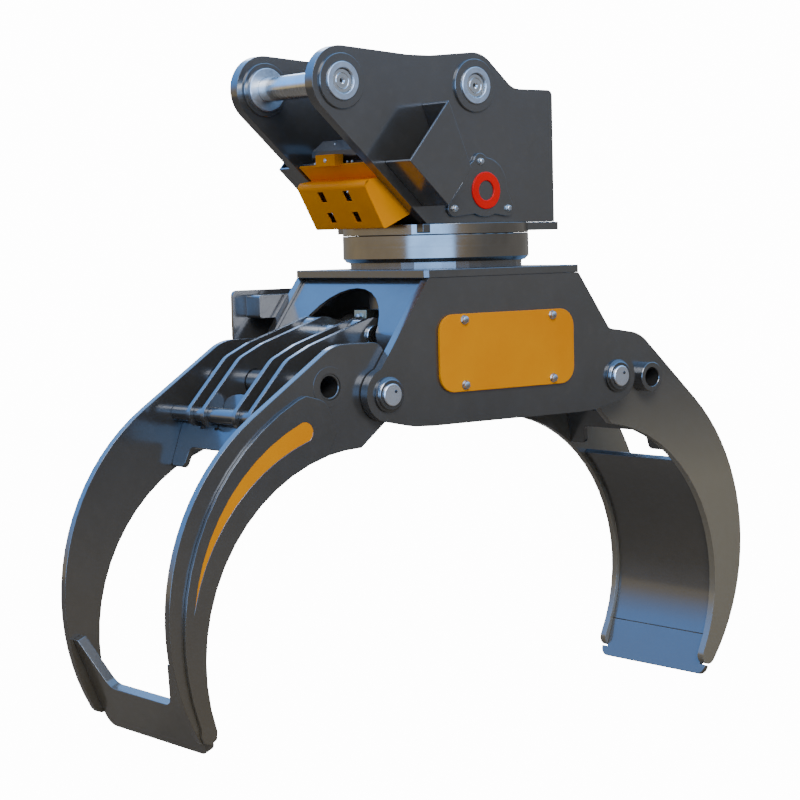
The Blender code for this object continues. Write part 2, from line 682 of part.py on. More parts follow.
def rotator(parts, cutters):
    """Flange disc, housing, toothed slew ring, pinion and motor."""
    shaft = [circle((PINION_OFFSET, 0.0), SHAFT_RADIUS + RUNNING)]
    rim_outline = circle((0, 0), ROTATOR_RADIUS, FINE)
    disc = add("flange_disc", slab(rim_outline, FLANGE_BOTTOM, BASE_TOP, shaft, FLAT), "machined", parts)
    pocket = box(BASE_LEFT - SEAT, -BASE_HALF - SEAT, BASE_RIGHT, BASE_HALF + SEAT)
    combine(disc, slab(pocket, BASE_BOTTOM - SEAT, BASE_TOP + PAST, (), FLAT), "DIFFERENCE", cutters)
    top = FLANGE_BOTTOM - SEAT
    foot = ROTATOR_RADIUS - HOUSING_CHAMFER
    wall = ROTATOR_RADIUS - HOUSING_WALL
    roof = top - HOUSING_ROOF
    bore = HOUSING_BORE
    profile = [(bore, top), (ROTATOR_RADIUS, top), (ROTATOR_RADIUS, HOUSING_BOTTOM + HOUSING_CHAMFER),
               (foot, HOUSING_BOTTOM), (wall, HOUSING_BOTTOM), (wall, roof), (bore, roof)]
    housing = add("rotator_housing", turned(profile, FINE), "machined", parts)
    hole = slab(shaft[0], roof - PAST, top + PAST, (), FLAT)
    combine(housing, hole, "DIFFERENCE", cutters)
    pitch = RING_TEETH * MODULE / 2.0
    rim = wall - SLEW_GAP
    step = HOUSING_BOTTOM - SLEW_GAP
    thrust = roof - SEAT
    profile = [(RING_BORE, thrust), (rim, thrust), (rim, step), (RING_RADIUS, step),
               (RING_RADIUS, RING_BOTTOM), (RING_BORE, RING_BOTTOM)]
    ring = add("slew_ring", turned(profile, FINE), "machined", parts)
    teeth = gear_outline(RING_TEETH, pitch - 0.7 * MODULE, pitch + MODULE, 0.12, 0.27)
    combine(ring, slab(shifted(teeth, RING_TEETH), step, thrust + PAST, (), FLAT), "DIFFERENCE", cutters)
    pitch = PINION_TEETH * MODULE / 2.0
    teeth = gear_outline(PINION_TEETH, pitch + 0.8 * MODULE, pitch - MODULE, 0.11, 0.25)
    place = FRAME_ORIGIN + Vector((PINION_OFFSET, 0.0, 0.0))
    pinion = add("slew_pinion", slab(teeth, PINION_LOW, PINION_HIGH, (), FLAT), "machined", parts, place)
    shaft_foot = PINION_LOW + PINION_SHAFT_SINK
    combine(pinion, slab(circle((0, 0), SHAFT_RADIUS), shaft_foot, BASE_TOP, (), FLAT), "UNION", cutters)
    body = MOTOR_RADIUS * 0.84
    profile = [(0.0, MOTOR_TOP), (body * 0.8, MOTOR_TOP), (body * 0.8, MOTOR_TOP - MOTOR_CAP),
               (body, MOTOR_TOP - MOTOR_CAP), (body, BASE_TOP + MOTOR_FLANGE),
               (MOTOR_RADIUS, BASE_TOP + MOTOR_FLANGE),
               (MOTOR_RADIUS, BASE_TOP + SEAT), (0.0, BASE_TOP + SEAT)]
    add("slew_motor", turned(profile), "paint", parts, place)


def shifted(points, teeth):
    """The outline turned by half a pitch, so a gap lies where a tooth was."""
    turn = math.pi / teeth
    return [(x * math.cos(turn) - y * math.sin(turn), x * math.sin(turn) + y * math.cos(turn))
            for x, y in points]


# Lower frame

def side_outline():
    """Side plate: sloped ends that run into round pivot ears, and a shallow bottom."""
    centre = (PIVOT_X, 0.0)
    slope = math.degrees(math.atan2(1.0, SIDE_SLOPE))
    reach = (SIDE_TOP_X - PIVOT_X) * math.cos(math.radians(slope))
    reach += TOP_LOW * math.sin(math.radians(slope))
    spread = math.degrees(math.acos(reach / EAR_RADIUS))
    ear = arc(centre, EAR_RADIUS, slope + spread, -78.0, 14)
    right = [(SIDE_TOP_X, TOP_LOW - SEAT), *ear, (0.245, SIDE_BOTTOM + 0.002, 0.05), (0.200, SIDE_BOTTOM)]
    left = [(-point[0], *point[1:]) for point in reversed(right)]
    return rounded(right + left)


def lower_frame(parts, cutters):
    """Top plate, two side plates, two arched end plates, pivot pins, collars and the cover panel."""
    ends = [circle((side * PIVOT_X, 0.0), PIVOT_RADIUS + SEAT) for side in (-1, 1)]
    inner = FRAME_OUT - FRAME_THICK
    top = chamfered(TOP_HALF_X, FRAME_OUT, TOP_CHAMFER)
    add("top_plate", slab(top, TOP_LOW, TOP_LOW + TOP_THICK, (), FLAT), "paint", parts)
    for side, word in ((-1, "near"), (1, "far")):
        near, far = sorted((side * inner, side * FRAME_OUT))
        add("side_plate_" + word, plate(side_outline(), near, far, ends), "paint", parts)
    upper = TOP_LOW - SEAT
    bend_x = SIDE_TOP_X + (TOP_LOW - WEB_BEND_Z) / SIDE_SLOPE - WEB_SET_BACK
    outer = [(SIDE_TOP_X - WEB_SET_BACK, upper), (bend_x, WEB_BEND_Z, 0.02), (bend_x, WEB_FOOT_Z)]
    back = [(bend_x - WEB_THICK, WEB_FOOT_Z), (bend_x - WEB_THICK, WEB_BEND_Z, 0.01),
            (SIDE_TOP_X - WEB_SET_BACK - WEB_THICK * 1.23, upper)]
    profile = rounded(outer + back)
    arch = arc((0.0, 0.0), 1.0, 0.0, 180.0, 16)
    arch = [(ARCH_HALF * y, ARCH_Z + ARCH_RISE * z) for y, z in arch]
    arch = [(ARCH_HALF, WEB_FOOT_Z - 0.02), *arch, (-ARCH_HALF, WEB_FOOT_Z - 0.02)]
    for side, word in ((-1, "left"), (1, "right")):
        outline = profile if side > 0 else mirrored(profile)
        web = add("end_plate_" + word, plate(outline, -inner + SEAT, inner - SEAT), "paint", parts)
        low, high = sorted((side * 0.15, side * 0.30))
        combine(web, slab(arch, low, high, (), SIDE), "DIFFERENCE", cutters)
        spot = FRAME_ORIGIN + Vector((side * PIVOT_X, 0.0, 0.0))
        add("pivot_pin_" + word, pivot_pin(), "bright", parts, spot)
        for end, where in ((-1, "near"), (1, "far")):
            add("collar_" + word + "_" + where, collar(end), "machined", parts, spot)
    outline = box(PANEL_LEFT, PANEL_LOW, PANEL_RIGHT, PANEL_HIGH, PANEL_CORNER)
    stand = -FRAME_OUT - SEAT
    add("cover_panel", plate(outline, stand - PANEL_THICK, stand), "orange", parts)


def chamfered(half_x, half_y, cut):
    """A rectangle about the origin with its four corners cut off."""
    corners = []
    for sx, sy in ((1, -1), (1, 1), (-1, 1), (-1, -1)):
        pair = [(sx * (half_x - cut), sy * half_y), (sx * half_x, sy * (half_y - cut))]
        corners += pair if sx * sy < 0 else pair[::-1]
    return corners


def pivot_pin():
    """Tine pivot pin along Y through both side plates."""
    chamfer = 0.002
    profile = [(0.0, PIVOT_HALF), (PIVOT_RADIUS - chamfer, PIVOT_HALF),
               (PIVOT_RADIUS, PIVOT_HALF - chamfer)]
    profile += [(radius, -height) for radius, height in reversed(profile)]
    return turned(profile, ROUND, Matrix.Rotation(math.pi / 2.0, 4, "X"))


def collar(side):
    """Grooved collar on a pivot pin, seated on the side plate."""
    low = FRAME_OUT + SEAT
    bore = PIVOT_RADIUS + SEAT
    flange = 0.005
    waist = COLLAR_RADIUS - 0.004
    profile = [(bore, COLLAR_END), (waist - 0.002, COLLAR_END), (waist, COLLAR_END - 0.002),
               (waist, low + flange), (COLLAR_RADIUS, low + flange), (COLLAR_RADIUS, low), (bore, low)]
    return turned(profile, ROUND, Matrix.Rotation(-side * math.pi / 2.0, 4, "X"))


def frame_fittings(parts, cutters):
    """Hose guard on the far side plate, and the clamped steel elbow under the top plate."""
    outline = box(FAR_GUARD_LEFT, FAR_GUARD_LOW, FAR_GUARD_RIGHT, FAR_GUARD_HIGH, 0.012)
    back = FAR_GUARD_FACE + FAR_GUARD_THICK
    guard = add("far_guard", plate(outline, FAR_GUARD_FACE, back), "paint", parts)
    bar = box(FAR_BAR_LEFT, FAR_BAR_LOW, FAR_BAR_RIGHT, FAR_BAR_HIGH, 0.006)
    combine(guard, plate(bar, FRAME_OUT + SEAT, FAR_GUARD_FACE + FAR_GUARD_THICK / 2.0), "UNION", cutters)
    strap = box(STRAP_X, CLAMP_LOW - PAST, STRAP_X + STRAP_THICK, TOP_LOW - SEAT)
    add("clamp_strap", plate(strap, -STRAP_HALF, STRAP_HALF), "paint", parts)
    back = STRAP_X - SEAT
    clamp = add("hose_clamp", plate(box(CLAMP_LEFT, CLAMP_LOW, back, CLAMP_HIGH), -CLAMP_HALF, CLAMP_HALF),
                "zinc", parts)
    groove = box(CLAMP_LEFT - PAST, CLAMP_SPLIT - 0.001, back - 0.006, CLAMP_SPLIT + 0.001)
    combine(clamp, plate(groove, -CLAMP_HALF - PAST, CLAMP_HALF + PAST), "DIFFERENCE", cutters)
    level = (CLAMP_LOW + CLAMP_SPLIT) / 2.0
    hole = slab(circle((0.0, level), TUBE_RADIUS + SEAT), CLAMP_LEFT - PAST, back - 0.004, (), SIDE)
    combine(clamp, hole, "DIFFERENCE", cutters)
    add("elbow_pipe", elbow(back - 0.006, level), "bright", parts)


def elbow(start_x, level):
    """Steel elbow that leaves the clamp forward and turns down."""
    bend = ELBOW_BEND
    turn_x = CLAMP_LEFT - ELBOW_LEAD
    route = [(start_x, level)]
    route += arc((turn_x, level - bend), bend, 90.0, 180.0, 6)
    route.append((turn_x - bend, level - bend - ELBOW_DROP))
    curve = bpy.data.curves.new("elbow", "CURVE")
    curve.dimensions = "3D"
    curve.bevel_depth = TUBE_RADIUS
    curve.bevel_resolution = 3
    curve.use_fill_caps = True
    spline = curve.splines.new("POLY")
    spline.points.add(len(route) - 1)
    for point, (x, z) in zip(spline.points, route):
        point.co = (x, 0.0, z, 1.0)
    return as_mesh(bpy.data.objects.new("elbow", curve), FLAT)


# Tines

def tine_outline():
    """Side plate of a tine: outer and inner sweep, round nose, hub and flat shoulder."""
    nose = meeting(OUTER_CENTRE, OUTER_RADIUS - NOSE_RADIUS, INNER_CENTRE, INNER_RADIUS + NOSE_RADIUS, 1)
    toward = bearing(OUTER_CENTRE, nose)
    away = bearing(INNER_CENTRE, nose)
    outer = arc(OUTER_CENTRE, OUTER_RADIUS, SHOULDER_ANGLE, toward, 20)
    tip = arc(nose, NOSE_RADIUS, toward, away - 180.0, 6)[1:]
    inner = arc(INNER_CENTRE, INNER_RADIUS, away, 90.0, 18)[1:]
    heel = inner[-1]
    hub_top = 180.0 - math.degrees(math.acos(-INBOARD_U / HUB_RADIUS))
    hub = arc((0.0, 0.0), HUB_RADIUS, tangent((0.0, 0.0), HUB_RADIUS, heel, -1) % 360.0, hub_top, 9)
    rise = SHOULDER_TOP - outer[0][1]
    brow = (outer[0][0] - rise * math.tan(math.radians(SHOULDER_ANGLE)), SHOULDER_TOP, SHOULDER_RADIUS)
    return rounded([*outer, *tip, *inner, *hub, (INBOARD_U, SHOULDER_TOP, 0.030), brow], 6)


def overlay_outline():
    """Doubler on the outside of a tine plate, set in from its outer edge, with a round head."""
    nose = meeting(OUTER_CENTRE, OUTER_RADIUS - NOSE_RADIUS, INNER_CENTRE, INNER_RADIUS + NOSE_RADIUS, 1)
    away = bearing(INNER_CENTRE, nose)
    outer = arc_through(*OVERLAY_EDGE, 14)
    end = bearing(nose, outer[-1])
    tip = arc(nose, NOSE_RADIUS - OVERLAY_INSET, end - 40.0, away - 180.0, 4)
    inner = arc(INNER_CENTRE, INNER_RADIUS + OVERLAY_INSET, away, OVERLAY_HEEL_ANGLE, 14)[1:]
    return rounded([*outer, *tip, *inner, *reversed(OVERLAY_HEAD)], 5)


def stripe_outline():
    """Long drop-shaped recess that tapers to a point near the tip."""
    outer = arc_through(*STRIPE_OUTER, 10)
    inner = arc_through(*STRIPE_INNER, 10)
    head = arc_through(STRIPE_INNER[2], (0.176, -0.048), STRIPE_OUTER[0], 5)
    return [*outer, *inner[1:], *head[1:-1]]


def rib_outline():
    """Lever rib: cylinder lug, hub, brow and a round toe about the lower bar."""
    hub = (0.0, 0.0)
    lug_hub = common_tangent(LEVER, LEVER_RADIUS, hub, HUB_RADIUS - RIB_HUB_INSET, -1)
    hub_toe = common_tangent(hub, HUB_RADIUS - RIB_HUB_INSET, BAR, RIB_TOE_RADIUS, -1)
    top = (0.104, SHOULDER_TOP - 0.004)
    lug = arc(LEVER, LEVER_RADIUS, tangent(LEVER, LEVER_RADIUS, top, 1), lug_hub % 360.0, 6)
    saddle = arc(hub, HUB_RADIUS - RIB_HUB_INSET, lug_hub % 360.0, hub_toe % 360.0, 3)
    toe = arc(BAR, RIB_TOE_RADIUS, hub_toe % 360.0 - 360.0, tangent(BAR, RIB_TOE_RADIUS, RIB_BROW, -1), 5)
    return rounded([*lug, *saddle, *toe, (*RIB_BROW, 0.05), (*top, 0.06)], 3)


def tie_matrix():
    """Frame of the cross plate: across, up along the plate, and outward."""
    angle = math.radians(TIE_ANGLE)
    return inclined(TIE_FOOT, angle)


def inclined(foot, angle):
    """Frame of a plate that crosses a tine: Y, the given slope, and the outward normal."""
    along = Vector((math.cos(angle), 0.0, math.sin(angle)))
    across = Vector((0.0, 1.0, 0.0))
    normal = across.cross(along)
    matrix = Matrix.Identity(4)
    for column, axis in enumerate((across, along, normal)):
        for row in range(3):
            matrix[row][column] = axis[row]
    matrix[0][3] = foot[0]
    matrix[2][3] = foot[1]
    return matrix


def tie_outline(width):
    """Cross plate: two legs, an arched middle and slots that the ribs pass through."""
    angle = math.radians(TIE_ANGLE)
    bar_level = (BAR[0] - TIE_FOOT[0]) * math.cos(angle) + (BAR[1] - TIE_FOOT[1]) * math.sin(angle)
    slot = bar_level - RIB_TOE_RADIUS - SEAT
    half_rib = RIB_THICK / 2.0 + SEAT
    leg = width - 0.045
    foot = [(-width, 0.0, 0.008), (-leg, 0.0, 0.010), (-leg + 0.006, TIE_MIDDLE, 0.012)]
    points = foot + [(-x, *rest) for x, *rest in reversed(foot)]
    points.append((width, TIE_HEIGHT))
    for station in reversed(RIB_STATIONS):
        inner_top = TIE_ARCH - 0.02 if abs(station) == min(map(abs, RIB_STATIONS)) else TIE_HEIGHT
        right_top = inner_top if station < 0.0 else TIE_HEIGHT
        left_top = inner_top if station > 0.0 else TIE_HEIGHT
        points += [(station + half_rib, right_top), (station + half_rib, slot),
                   (station - half_rib, slot), (station - half_rib, left_top)]
        if station == min(abs(value) for value in RIB_STATIONS):
            points += arch_points(station - half_rib, left_top)
    points.append((-width, TIE_HEIGHT))
    return rounded(points, 4)


def arch_points(half, level):
    """Crown of the cross plate between the middle ribs."""
    rise = TIE_ARCH - level
    return [(half * math.cos(turn), level + rise * math.sin(turn))
            for turn in (math.pi * step / 10.0 for step in range(1, 10))]


def tine_place(word):
    """Mesh transform and object place that stand a tine on its pivot."""
    if word == "left":
        return Matrix.Scale(-1.0, 4, (1.0, 0.0, 0.0)), FRAME_ORIGIN - Vector((PIVOT_X, 0.0, 0.0))
    return Matrix.Rotation(math.radians(RIGHT_LEAD), 4, "Y"), FRAME_ORIGIN + Vector((PIVOT_X, 0.0, 0.0))


def stand(mesh, matrix):
    """Carry a mesh to its tine's pose, with its faces still pointing out."""
    mesh.transform(matrix)
    if matrix.determinant() < 0.0:
        mesh.flip_normals()
    return mesh


def tine(word, parts, cutters):
    """The pieces that both tines share."""
    pose, place = tine_place(word)
    out = LEFT_OUT if word == "left" else RIGHT_OUT
    inner = out - TINE_THICK
    upper = UPPER_TUBE[word]
    tube_hole = circle(upper, UPPER_TUBE_RADIUS[word] + SEAT)
    rib_tube_hole = circle(upper, UPPER_TUBE_RADIUS[word] + RIB_TUBE_PLAY, INNER_ROUND)
    bore = circle((0.0, 0.0), PIVOT_RADIUS + RUNNING)
    fit = inner - SEAT

    def piece(name, mesh, look="paint"):
        return add(word + "_" + name, stand(mesh, pose), look, parts, place)

    def change(part, mesh, operation):
        combine(part, stand(mesh, pose), operation, cutters)

    for side, where in ((-1, "near"), (1, "far")):
        near, far = sorted((side * inner, side * out))
        part = piece("tine_plate_" + where, plate(tine_outline(), near, far, [bore, tube_hole]))
        if word == "right":
            near, far = sorted((side * (out - 0.004), side * (REACH_OUT - 0.002)))
            boss = plate(circle((0.0, 0.0), HUB_TUBE_RADIUS), near, far, [bore])
            change(part, boss, "UNION")
    bar_hole = circle(BAR, BAR_RADIUS + SEAT, INNER_ROUND)
    lug_hole = circle(LEVER, LEVER_PIN_RADIUS + SEAT, INNER_ROUND)
    hub_bore = circle((0.0, 0.0), PIVOT_RADIUS + HUB_PLAY)
    hub_tube = plate(circle((0.0, 0.0), HUB_TUBE_RADIUS), -fit, fit, [hub_bore])
    lever = piece("lever_frame", hub_tube)
    window = circle((0.0, 0.0), HUB_TUBE_RADIUS - 0.008, 8)
    for station in RIB_STATIONS:
        near, far = station - RIB_THICK / 2.0, station + RIB_THICK / 2.0
        change(lever, plate(rib_outline(), near, far, [window, rib_tube_hole, bar_hole, lug_hole]), "UNION")
    half = LEFT_OUT - 0.0005 if word == "left" else REACH_OUT
    tube_bore = circle(upper, UPPER_TUBE_BORE[word])
    tube = plate(circle(upper, UPPER_TUBE_RADIUS[word]), -half, half, [tube_bore])
    piece("upper_tube", tube)
    piece("lower_bar", drum(BAR_RADIUS, -fit, fit, BAR, INNER_ROUND))
    pin = drum(LEVER_PIN_RADIUS, -LEVER_PIN_HALF, LEVER_PIN_HALF, LEVER, INNER_ROUND)
    piece("lever_pin", pin, "bright")
    tie = slab(tie_outline(fit), -TIE_THICK, 0.0, (), tie_matrix())
    piece("cross_plate", tie)


def left_extras(parts, cutters):
    """Doublers with their stripe recess, and the notched lip of the left tine."""
    pose, place = tine_place("left")
    base = LEFT_OUT + SEAT
    for side, where in ((-1, "near"), (1, "far")):
        near, far = sorted((side * base, side * (base + OVERLAY_THICK)))
        doubler = stand(plate(overlay_outline(), near, far), pose)
        part = add("left_overlay_" + where, doubler, "paint", parts, place)
        face = base + OVERLAY_THICK
        near, far = sorted((side * (face - STRIPE_DEPTH), side * (face + PAST)))
        combine(part, stand(plate(stripe_outline(), near, far), pose), "DIFFERENCE", cutters)
    fit = LEFT_OUT - TINE_THICK - SEAT
    half = [(0.0, 0.0), (fit, 0.0, LIP_CORNER), (fit, LEFT_LIP_LENGTH), (fit - LIP_ARM, LEFT_LIP_LENGTH),
            (LIP_NOTCH_HALF, LEFT_LIP_NOTCH, LIP_NOTCH_RADIUS)]
    outline = half[1:] + [(-x, *rest) for x, *rest in reversed(half[1:])]
    matrix = inclined(LEFT_LIP_FOOT, math.radians(LEFT_LIP_ANGLE))
    lip = slab(rounded(outline), -LEFT_LIP_THICK, 0.0, (), matrix)
    add("left_lip", stand(lip, pose), "paint", parts, place)


def right_extras(parts):
    """Curved shell and flat lip of the right tine."""
    pose, place = tine_place("right")
    fit = RIGHT_OUT - TINE_THICK - SEAT
    back = SHELL_RADIUS + SHELL_THICK
    face = arc(INNER_CENTRE, SHELL_RADIUS, SHELL_END_ANGLE, SHELL_TOP_ANGLE, 20)
    rear = arc(INNER_CENTRE, back, SHELL_TOP_ANGLE, SHELL_END_ANGLE, 20)
    add("right_shell", stand(plate(face + rear, -fit, fit), pose), "paint", parts, place)
    seam = face[0]
    tilt = math.atan2(seam[1] - RIGHT_LIP_FOOT[1], seam[0] - RIGHT_LIP_FOOT[0])
    length = math.dist(seam, RIGHT_LIP_FOOT) - SEAT - 0.0006
    half = [(RIGHT_OUT, 0.0, RIGHT_LIP_STEP * 0.9), (RIGHT_OUT, RIGHT_LIP_STEP), (fit, RIGHT_LIP_STEP),
            (fit, length)]
    outline = half + [(-x, *rest) for x, *rest in reversed(half)]
    matrix = inclined(RIGHT_LIP_FOOT, tilt)
    lip = slab(rounded(outline), 0.0, SHELL_THICK, (), matrix)
    add("right_lip", stand(lip, pose), "paint", parts, place)


# Cylinders

def lever_pin_place(word):
    """Where a tine's lever pin stands in the slew frame."""
    pose, place = tine_place(word)
    return pose @ Vector((LEVER[0], 0.0, LEVER[1])) + place


def cylinders(parts, cutters):
    """Two parallel cylinders between the lever pins; each rod slides in its barrel."""
    start = lever_pin_place("left")
    end = lever_pin_place("right")
    span = (end - start).length
    tilt = math.atan2(end.z - start.z, end.x - start.x)
    lay = Matrix.Rotation(-tilt, 4, "Y")
    along = lay @ Matrix.Rotation(math.pi / 2.0, 4, "Y")
    gland = ROD_RADIUS + SEAT
    profile = [(gland, BARREL_END), (BARREL_RADIUS, BARREL_END), (BARREL_RADIUS, BARREL_END - GLAND_LENGTH),
               (BARREL_RADIUS - GLAND_STEP, BARREL_END - GLAND_LENGTH),
               (BARREL_RADIUS - GLAND_STEP, BARREL_START + BARREL_SHOULDER),
               (BARREL_RADIUS - BARREL_END_STEP, BARREL_START), (0.0, BARREL_START)]
    bottom = [(0.0, BARREL_START + BLIND_WALL), (BARREL_BORE, BARREL_START + BLIND_WALL),
              (BARREL_BORE, BARREL_END - GLAND_DEPTH), (gland, BARREL_END - GLAND_DEPTH)]
    shell = turned(profile + bottom, ROUND, along)
    for side, word in ((-1, "near"), (1, "far")):
        lane = Vector((0.0, side * LANE, 0.0))
        barrel = add("cylinder_barrel_" + word, shell.copy(), "paint", parts, start + lane)
        eye = turned_eye(LEVER_PIN_RADIUS + RUNNING, 0.0, BARREL_START + 0.008)
        eye.transform(lay)
        combine(barrel, eye, "UNION", cutters)
        slider = turned(rod_profile(span), ROUND, along)
        rod = add("cylinder_rod_" + word, slider, "bright", parts, start + lane)
        eye = turned_eye(LEVER_PIN_RADIUS + ROD_EYE_PLAY, span, span - ROD_EYE_NECK)
        eye.transform(lay)
        combine(rod, eye, "UNION", cutters)


def rod_profile(span):
    """Piston and rod, turned about the cylinder's axis."""
    piston = BARREL_BORE - SEAT
    return [(0.0, span - 0.026), (ROD_RADIUS, span - 0.026), (ROD_RADIUS, PISTON_START + PISTON_LENGTH),
            (piston, PISTON_START + PISTON_LENGTH), (piston, PISTON_START), (0.0, PISTON_START)]


def turned_eye(bore, centre, neck):
    """Round cylinder eye along Y with a neck toward the rod or barrel."""
    reach = math.copysign(1.0, neck - centre)
    turn = 90.0 * reach
    outline = arc((centre, 0.0), EYE_RADIUS, turn, turn + 180.0, 12)
    width = EYE_RADIUS * 0.62
    outline += [(neck, -reach * width), (neck, reach * width)]
    return plate(outline, -EYE_HALF, EYE_HALF, [circle((centre, 0.0), bore)])


def main():
    """Build the grapple."""
    clear_scene()
    parts = collection("log_grapple")
    cutters = collection("cutters")
    bracket(parts)
    hose_channels(parts, cutters)
    side_cover(parts)
    valve_guard(parts, cutters)
    valve_cover(parts, cutters)
    rotator(parts, cutters)
    lower_frame(parts, cutters)
    frame_fittings(parts, cutters)
    for word in ("left", "right"):
        tine(word, parts, cutters)
    left_extras(parts, cutters)
    right_extras(parts)
    cylinders(parts, cutters)


main()
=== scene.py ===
"""Looks of a log grapple: painted plates, machined rotator, pins, cylinders, bolts and a plain studio.

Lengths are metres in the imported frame. A slew point is counted from the slew axis at the height of the
tine pivots, and a tine point outward and up from that tine's pivot.
"""

import json
import logging
import math
from collections.abc import Sequence
from dataclasses import dataclass
from enum import Enum

import bmesh
import bpy
from mathutils import Matrix, Vector

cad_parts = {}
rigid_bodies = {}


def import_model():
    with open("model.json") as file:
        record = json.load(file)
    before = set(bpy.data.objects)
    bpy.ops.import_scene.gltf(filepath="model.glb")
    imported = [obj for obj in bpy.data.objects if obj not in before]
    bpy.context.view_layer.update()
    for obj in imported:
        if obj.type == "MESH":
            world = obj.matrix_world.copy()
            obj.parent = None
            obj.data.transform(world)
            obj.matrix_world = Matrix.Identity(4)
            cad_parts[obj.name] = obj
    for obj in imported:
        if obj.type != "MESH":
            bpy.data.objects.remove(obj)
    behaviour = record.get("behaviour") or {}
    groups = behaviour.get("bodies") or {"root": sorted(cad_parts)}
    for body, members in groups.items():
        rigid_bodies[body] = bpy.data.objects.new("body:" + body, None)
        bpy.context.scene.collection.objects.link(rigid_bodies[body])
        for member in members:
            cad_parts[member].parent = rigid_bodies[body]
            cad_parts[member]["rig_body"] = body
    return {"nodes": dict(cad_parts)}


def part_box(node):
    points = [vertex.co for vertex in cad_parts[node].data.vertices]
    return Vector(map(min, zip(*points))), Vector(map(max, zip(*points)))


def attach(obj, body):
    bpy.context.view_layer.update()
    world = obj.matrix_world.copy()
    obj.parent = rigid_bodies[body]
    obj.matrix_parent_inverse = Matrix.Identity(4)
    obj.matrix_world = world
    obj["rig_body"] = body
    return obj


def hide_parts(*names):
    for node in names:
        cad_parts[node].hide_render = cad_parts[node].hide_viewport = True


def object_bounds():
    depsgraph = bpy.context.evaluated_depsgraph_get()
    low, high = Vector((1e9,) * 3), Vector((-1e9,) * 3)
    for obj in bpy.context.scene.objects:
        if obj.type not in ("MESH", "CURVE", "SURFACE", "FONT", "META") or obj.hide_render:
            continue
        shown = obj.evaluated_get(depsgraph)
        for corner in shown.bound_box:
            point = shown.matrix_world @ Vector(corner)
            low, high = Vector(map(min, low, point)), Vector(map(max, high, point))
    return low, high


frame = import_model()
CAD_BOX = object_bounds()

Point = tuple[float, float]
Place = tuple[float, float, float]
Colour = tuple[float, float, float]
Stops = tuple[tuple[float, Colour], ...]

LOG = logging.getLogger("grapple")
SIDES = (("near", -1.0), ("far", 1.0))

# The gap that dressed bushes and collars leave round a pin.
PIN_PLAY = 0.0003
# Points nearer to each other than this are merged.
WELD_DISTANCE = 0.00001
# Edges sharper than the first angle stay sharp or are rounded, and faces within the second are one.
SHARP_ANGLE = math.radians(34.0)
FLAT_ANGLE = math.radians(0.6)
# Nearly all values of a noise lie in this range.
NOISE_CORE: Point = (0.3, 0.7)
FULL: Point = (0.0, 1.0)
WHITE = (1.0, 1.0, 1.0, 1.0)


class Slot(Enum):
    """The record's material slots."""

    DARK = "dark_paint"
    ORANGE = "orange_paint"
    MACHINED = "machined_steel"
    BRIGHT = "bright_steel"
    BUSH = "bush_steel"
    ZINC = "zinc_steel"


class Axis(Enum):
    """The direction that a turned piece lies along."""

    Y = "y"
    Z = "z"


class Edge(Enum):
    """How far the edges of a dressed piece are rounded."""

    AS_PACKED = 0.0
    RIB = 0.0007
    FINE = 0.0008
    COVER = 0.0010
    PLATE = 0.0012
    CAST = 0.0020


class NodeGraph:
    """A node tree, with short calls to add nodes and to feed their inputs."""

    def __init__(self, tree: bpy.types.NodeTree) -> None:
        """Work on a tree.

        Args:
            tree: The tree that the nodes go into.
        """
        self.tree = tree

    def feed(self, socket: bpy.types.NodeSocket, value: object) -> None:
        """Link a socket to another, or set its value.

        Args:
            socket: The input.
            value: A socket or a plain value.
        """
        if isinstance(value, bpy.types.NodeSocket):
            self.tree.links.new(value, socket)
        else:
            socket.default_value = value

    def add(self, kind: str, links: dict | None = None, **settings: object) -> bpy.types.Node:
        """Add one node.

        Args:
            kind: The node's type name.
            links: Inputs by name or number, each a socket or a plain value.
            settings: Properties of the node itself.

        Returns:
            The new node.
        """
        node = self.tree.nodes.new(kind)
        for key, value in settings.items():
            setattr(node, key, value)
        for key, value in (links or {}).items():
            self.feed(node.inputs[key], value)
        return node

    def math(self, operation: str, first: object, second: object) -> bpy.types.NodeSocket:
        """One step of arithmetic on sockets or numbers."""
        return self.add("ShaderNodeMath", {0: first, 1: second}, operation=operation).outputs[0]

    def vector(self, operation: str, first: object, second: object) -> bpy.types.Node:
        """One step of arithmetic on vectors."""
        return self.add("ShaderNodeVectorMath", {0: first, 1: second}, operation=operation)

    def remap(self, value: bpy.types.NodeSocket, source: Point, target: Point) -> bpy.types.NodeSocket:
        """Carry a value from one range to another, held at both ends.

        Args:
            value: The socket to carry.
            source: The range that it comes from.
            target: The range that it goes to.

        Returns:
            The result socket.
        """
        wanted = {"Value": value, "From Min": source[0], "From Max": source[1],
                  "To Min": target[0], "To Max": target[1]}
        return self.add("ShaderNodeMapRange", wanted).outputs[0]

    def blend(self, share: bpy.types.NodeSocket, first: object, second: object) -> bpy.types.NodeSocket:
        """Mix two colours.

        Args:
            share: How much of the second shows.
            first: A colour or a socket.
            second: A colour or a socket.

        Returns:
            The colour socket.
        """
        node = self.add("ShaderNodeMix", data_type="RGBA")
        self.feed(node.inputs["Factor"], share)
        colours = [socket for socket in node.inputs if socket.type == "RGBA"]
        for socket, value in zip(colours, (first, second)):
            self.feed(socket, value if isinstance(value, bpy.types.NodeSocket) else (*value, 1.0))
        return next(socket for socket in node.outputs if socket.type == "RGBA")


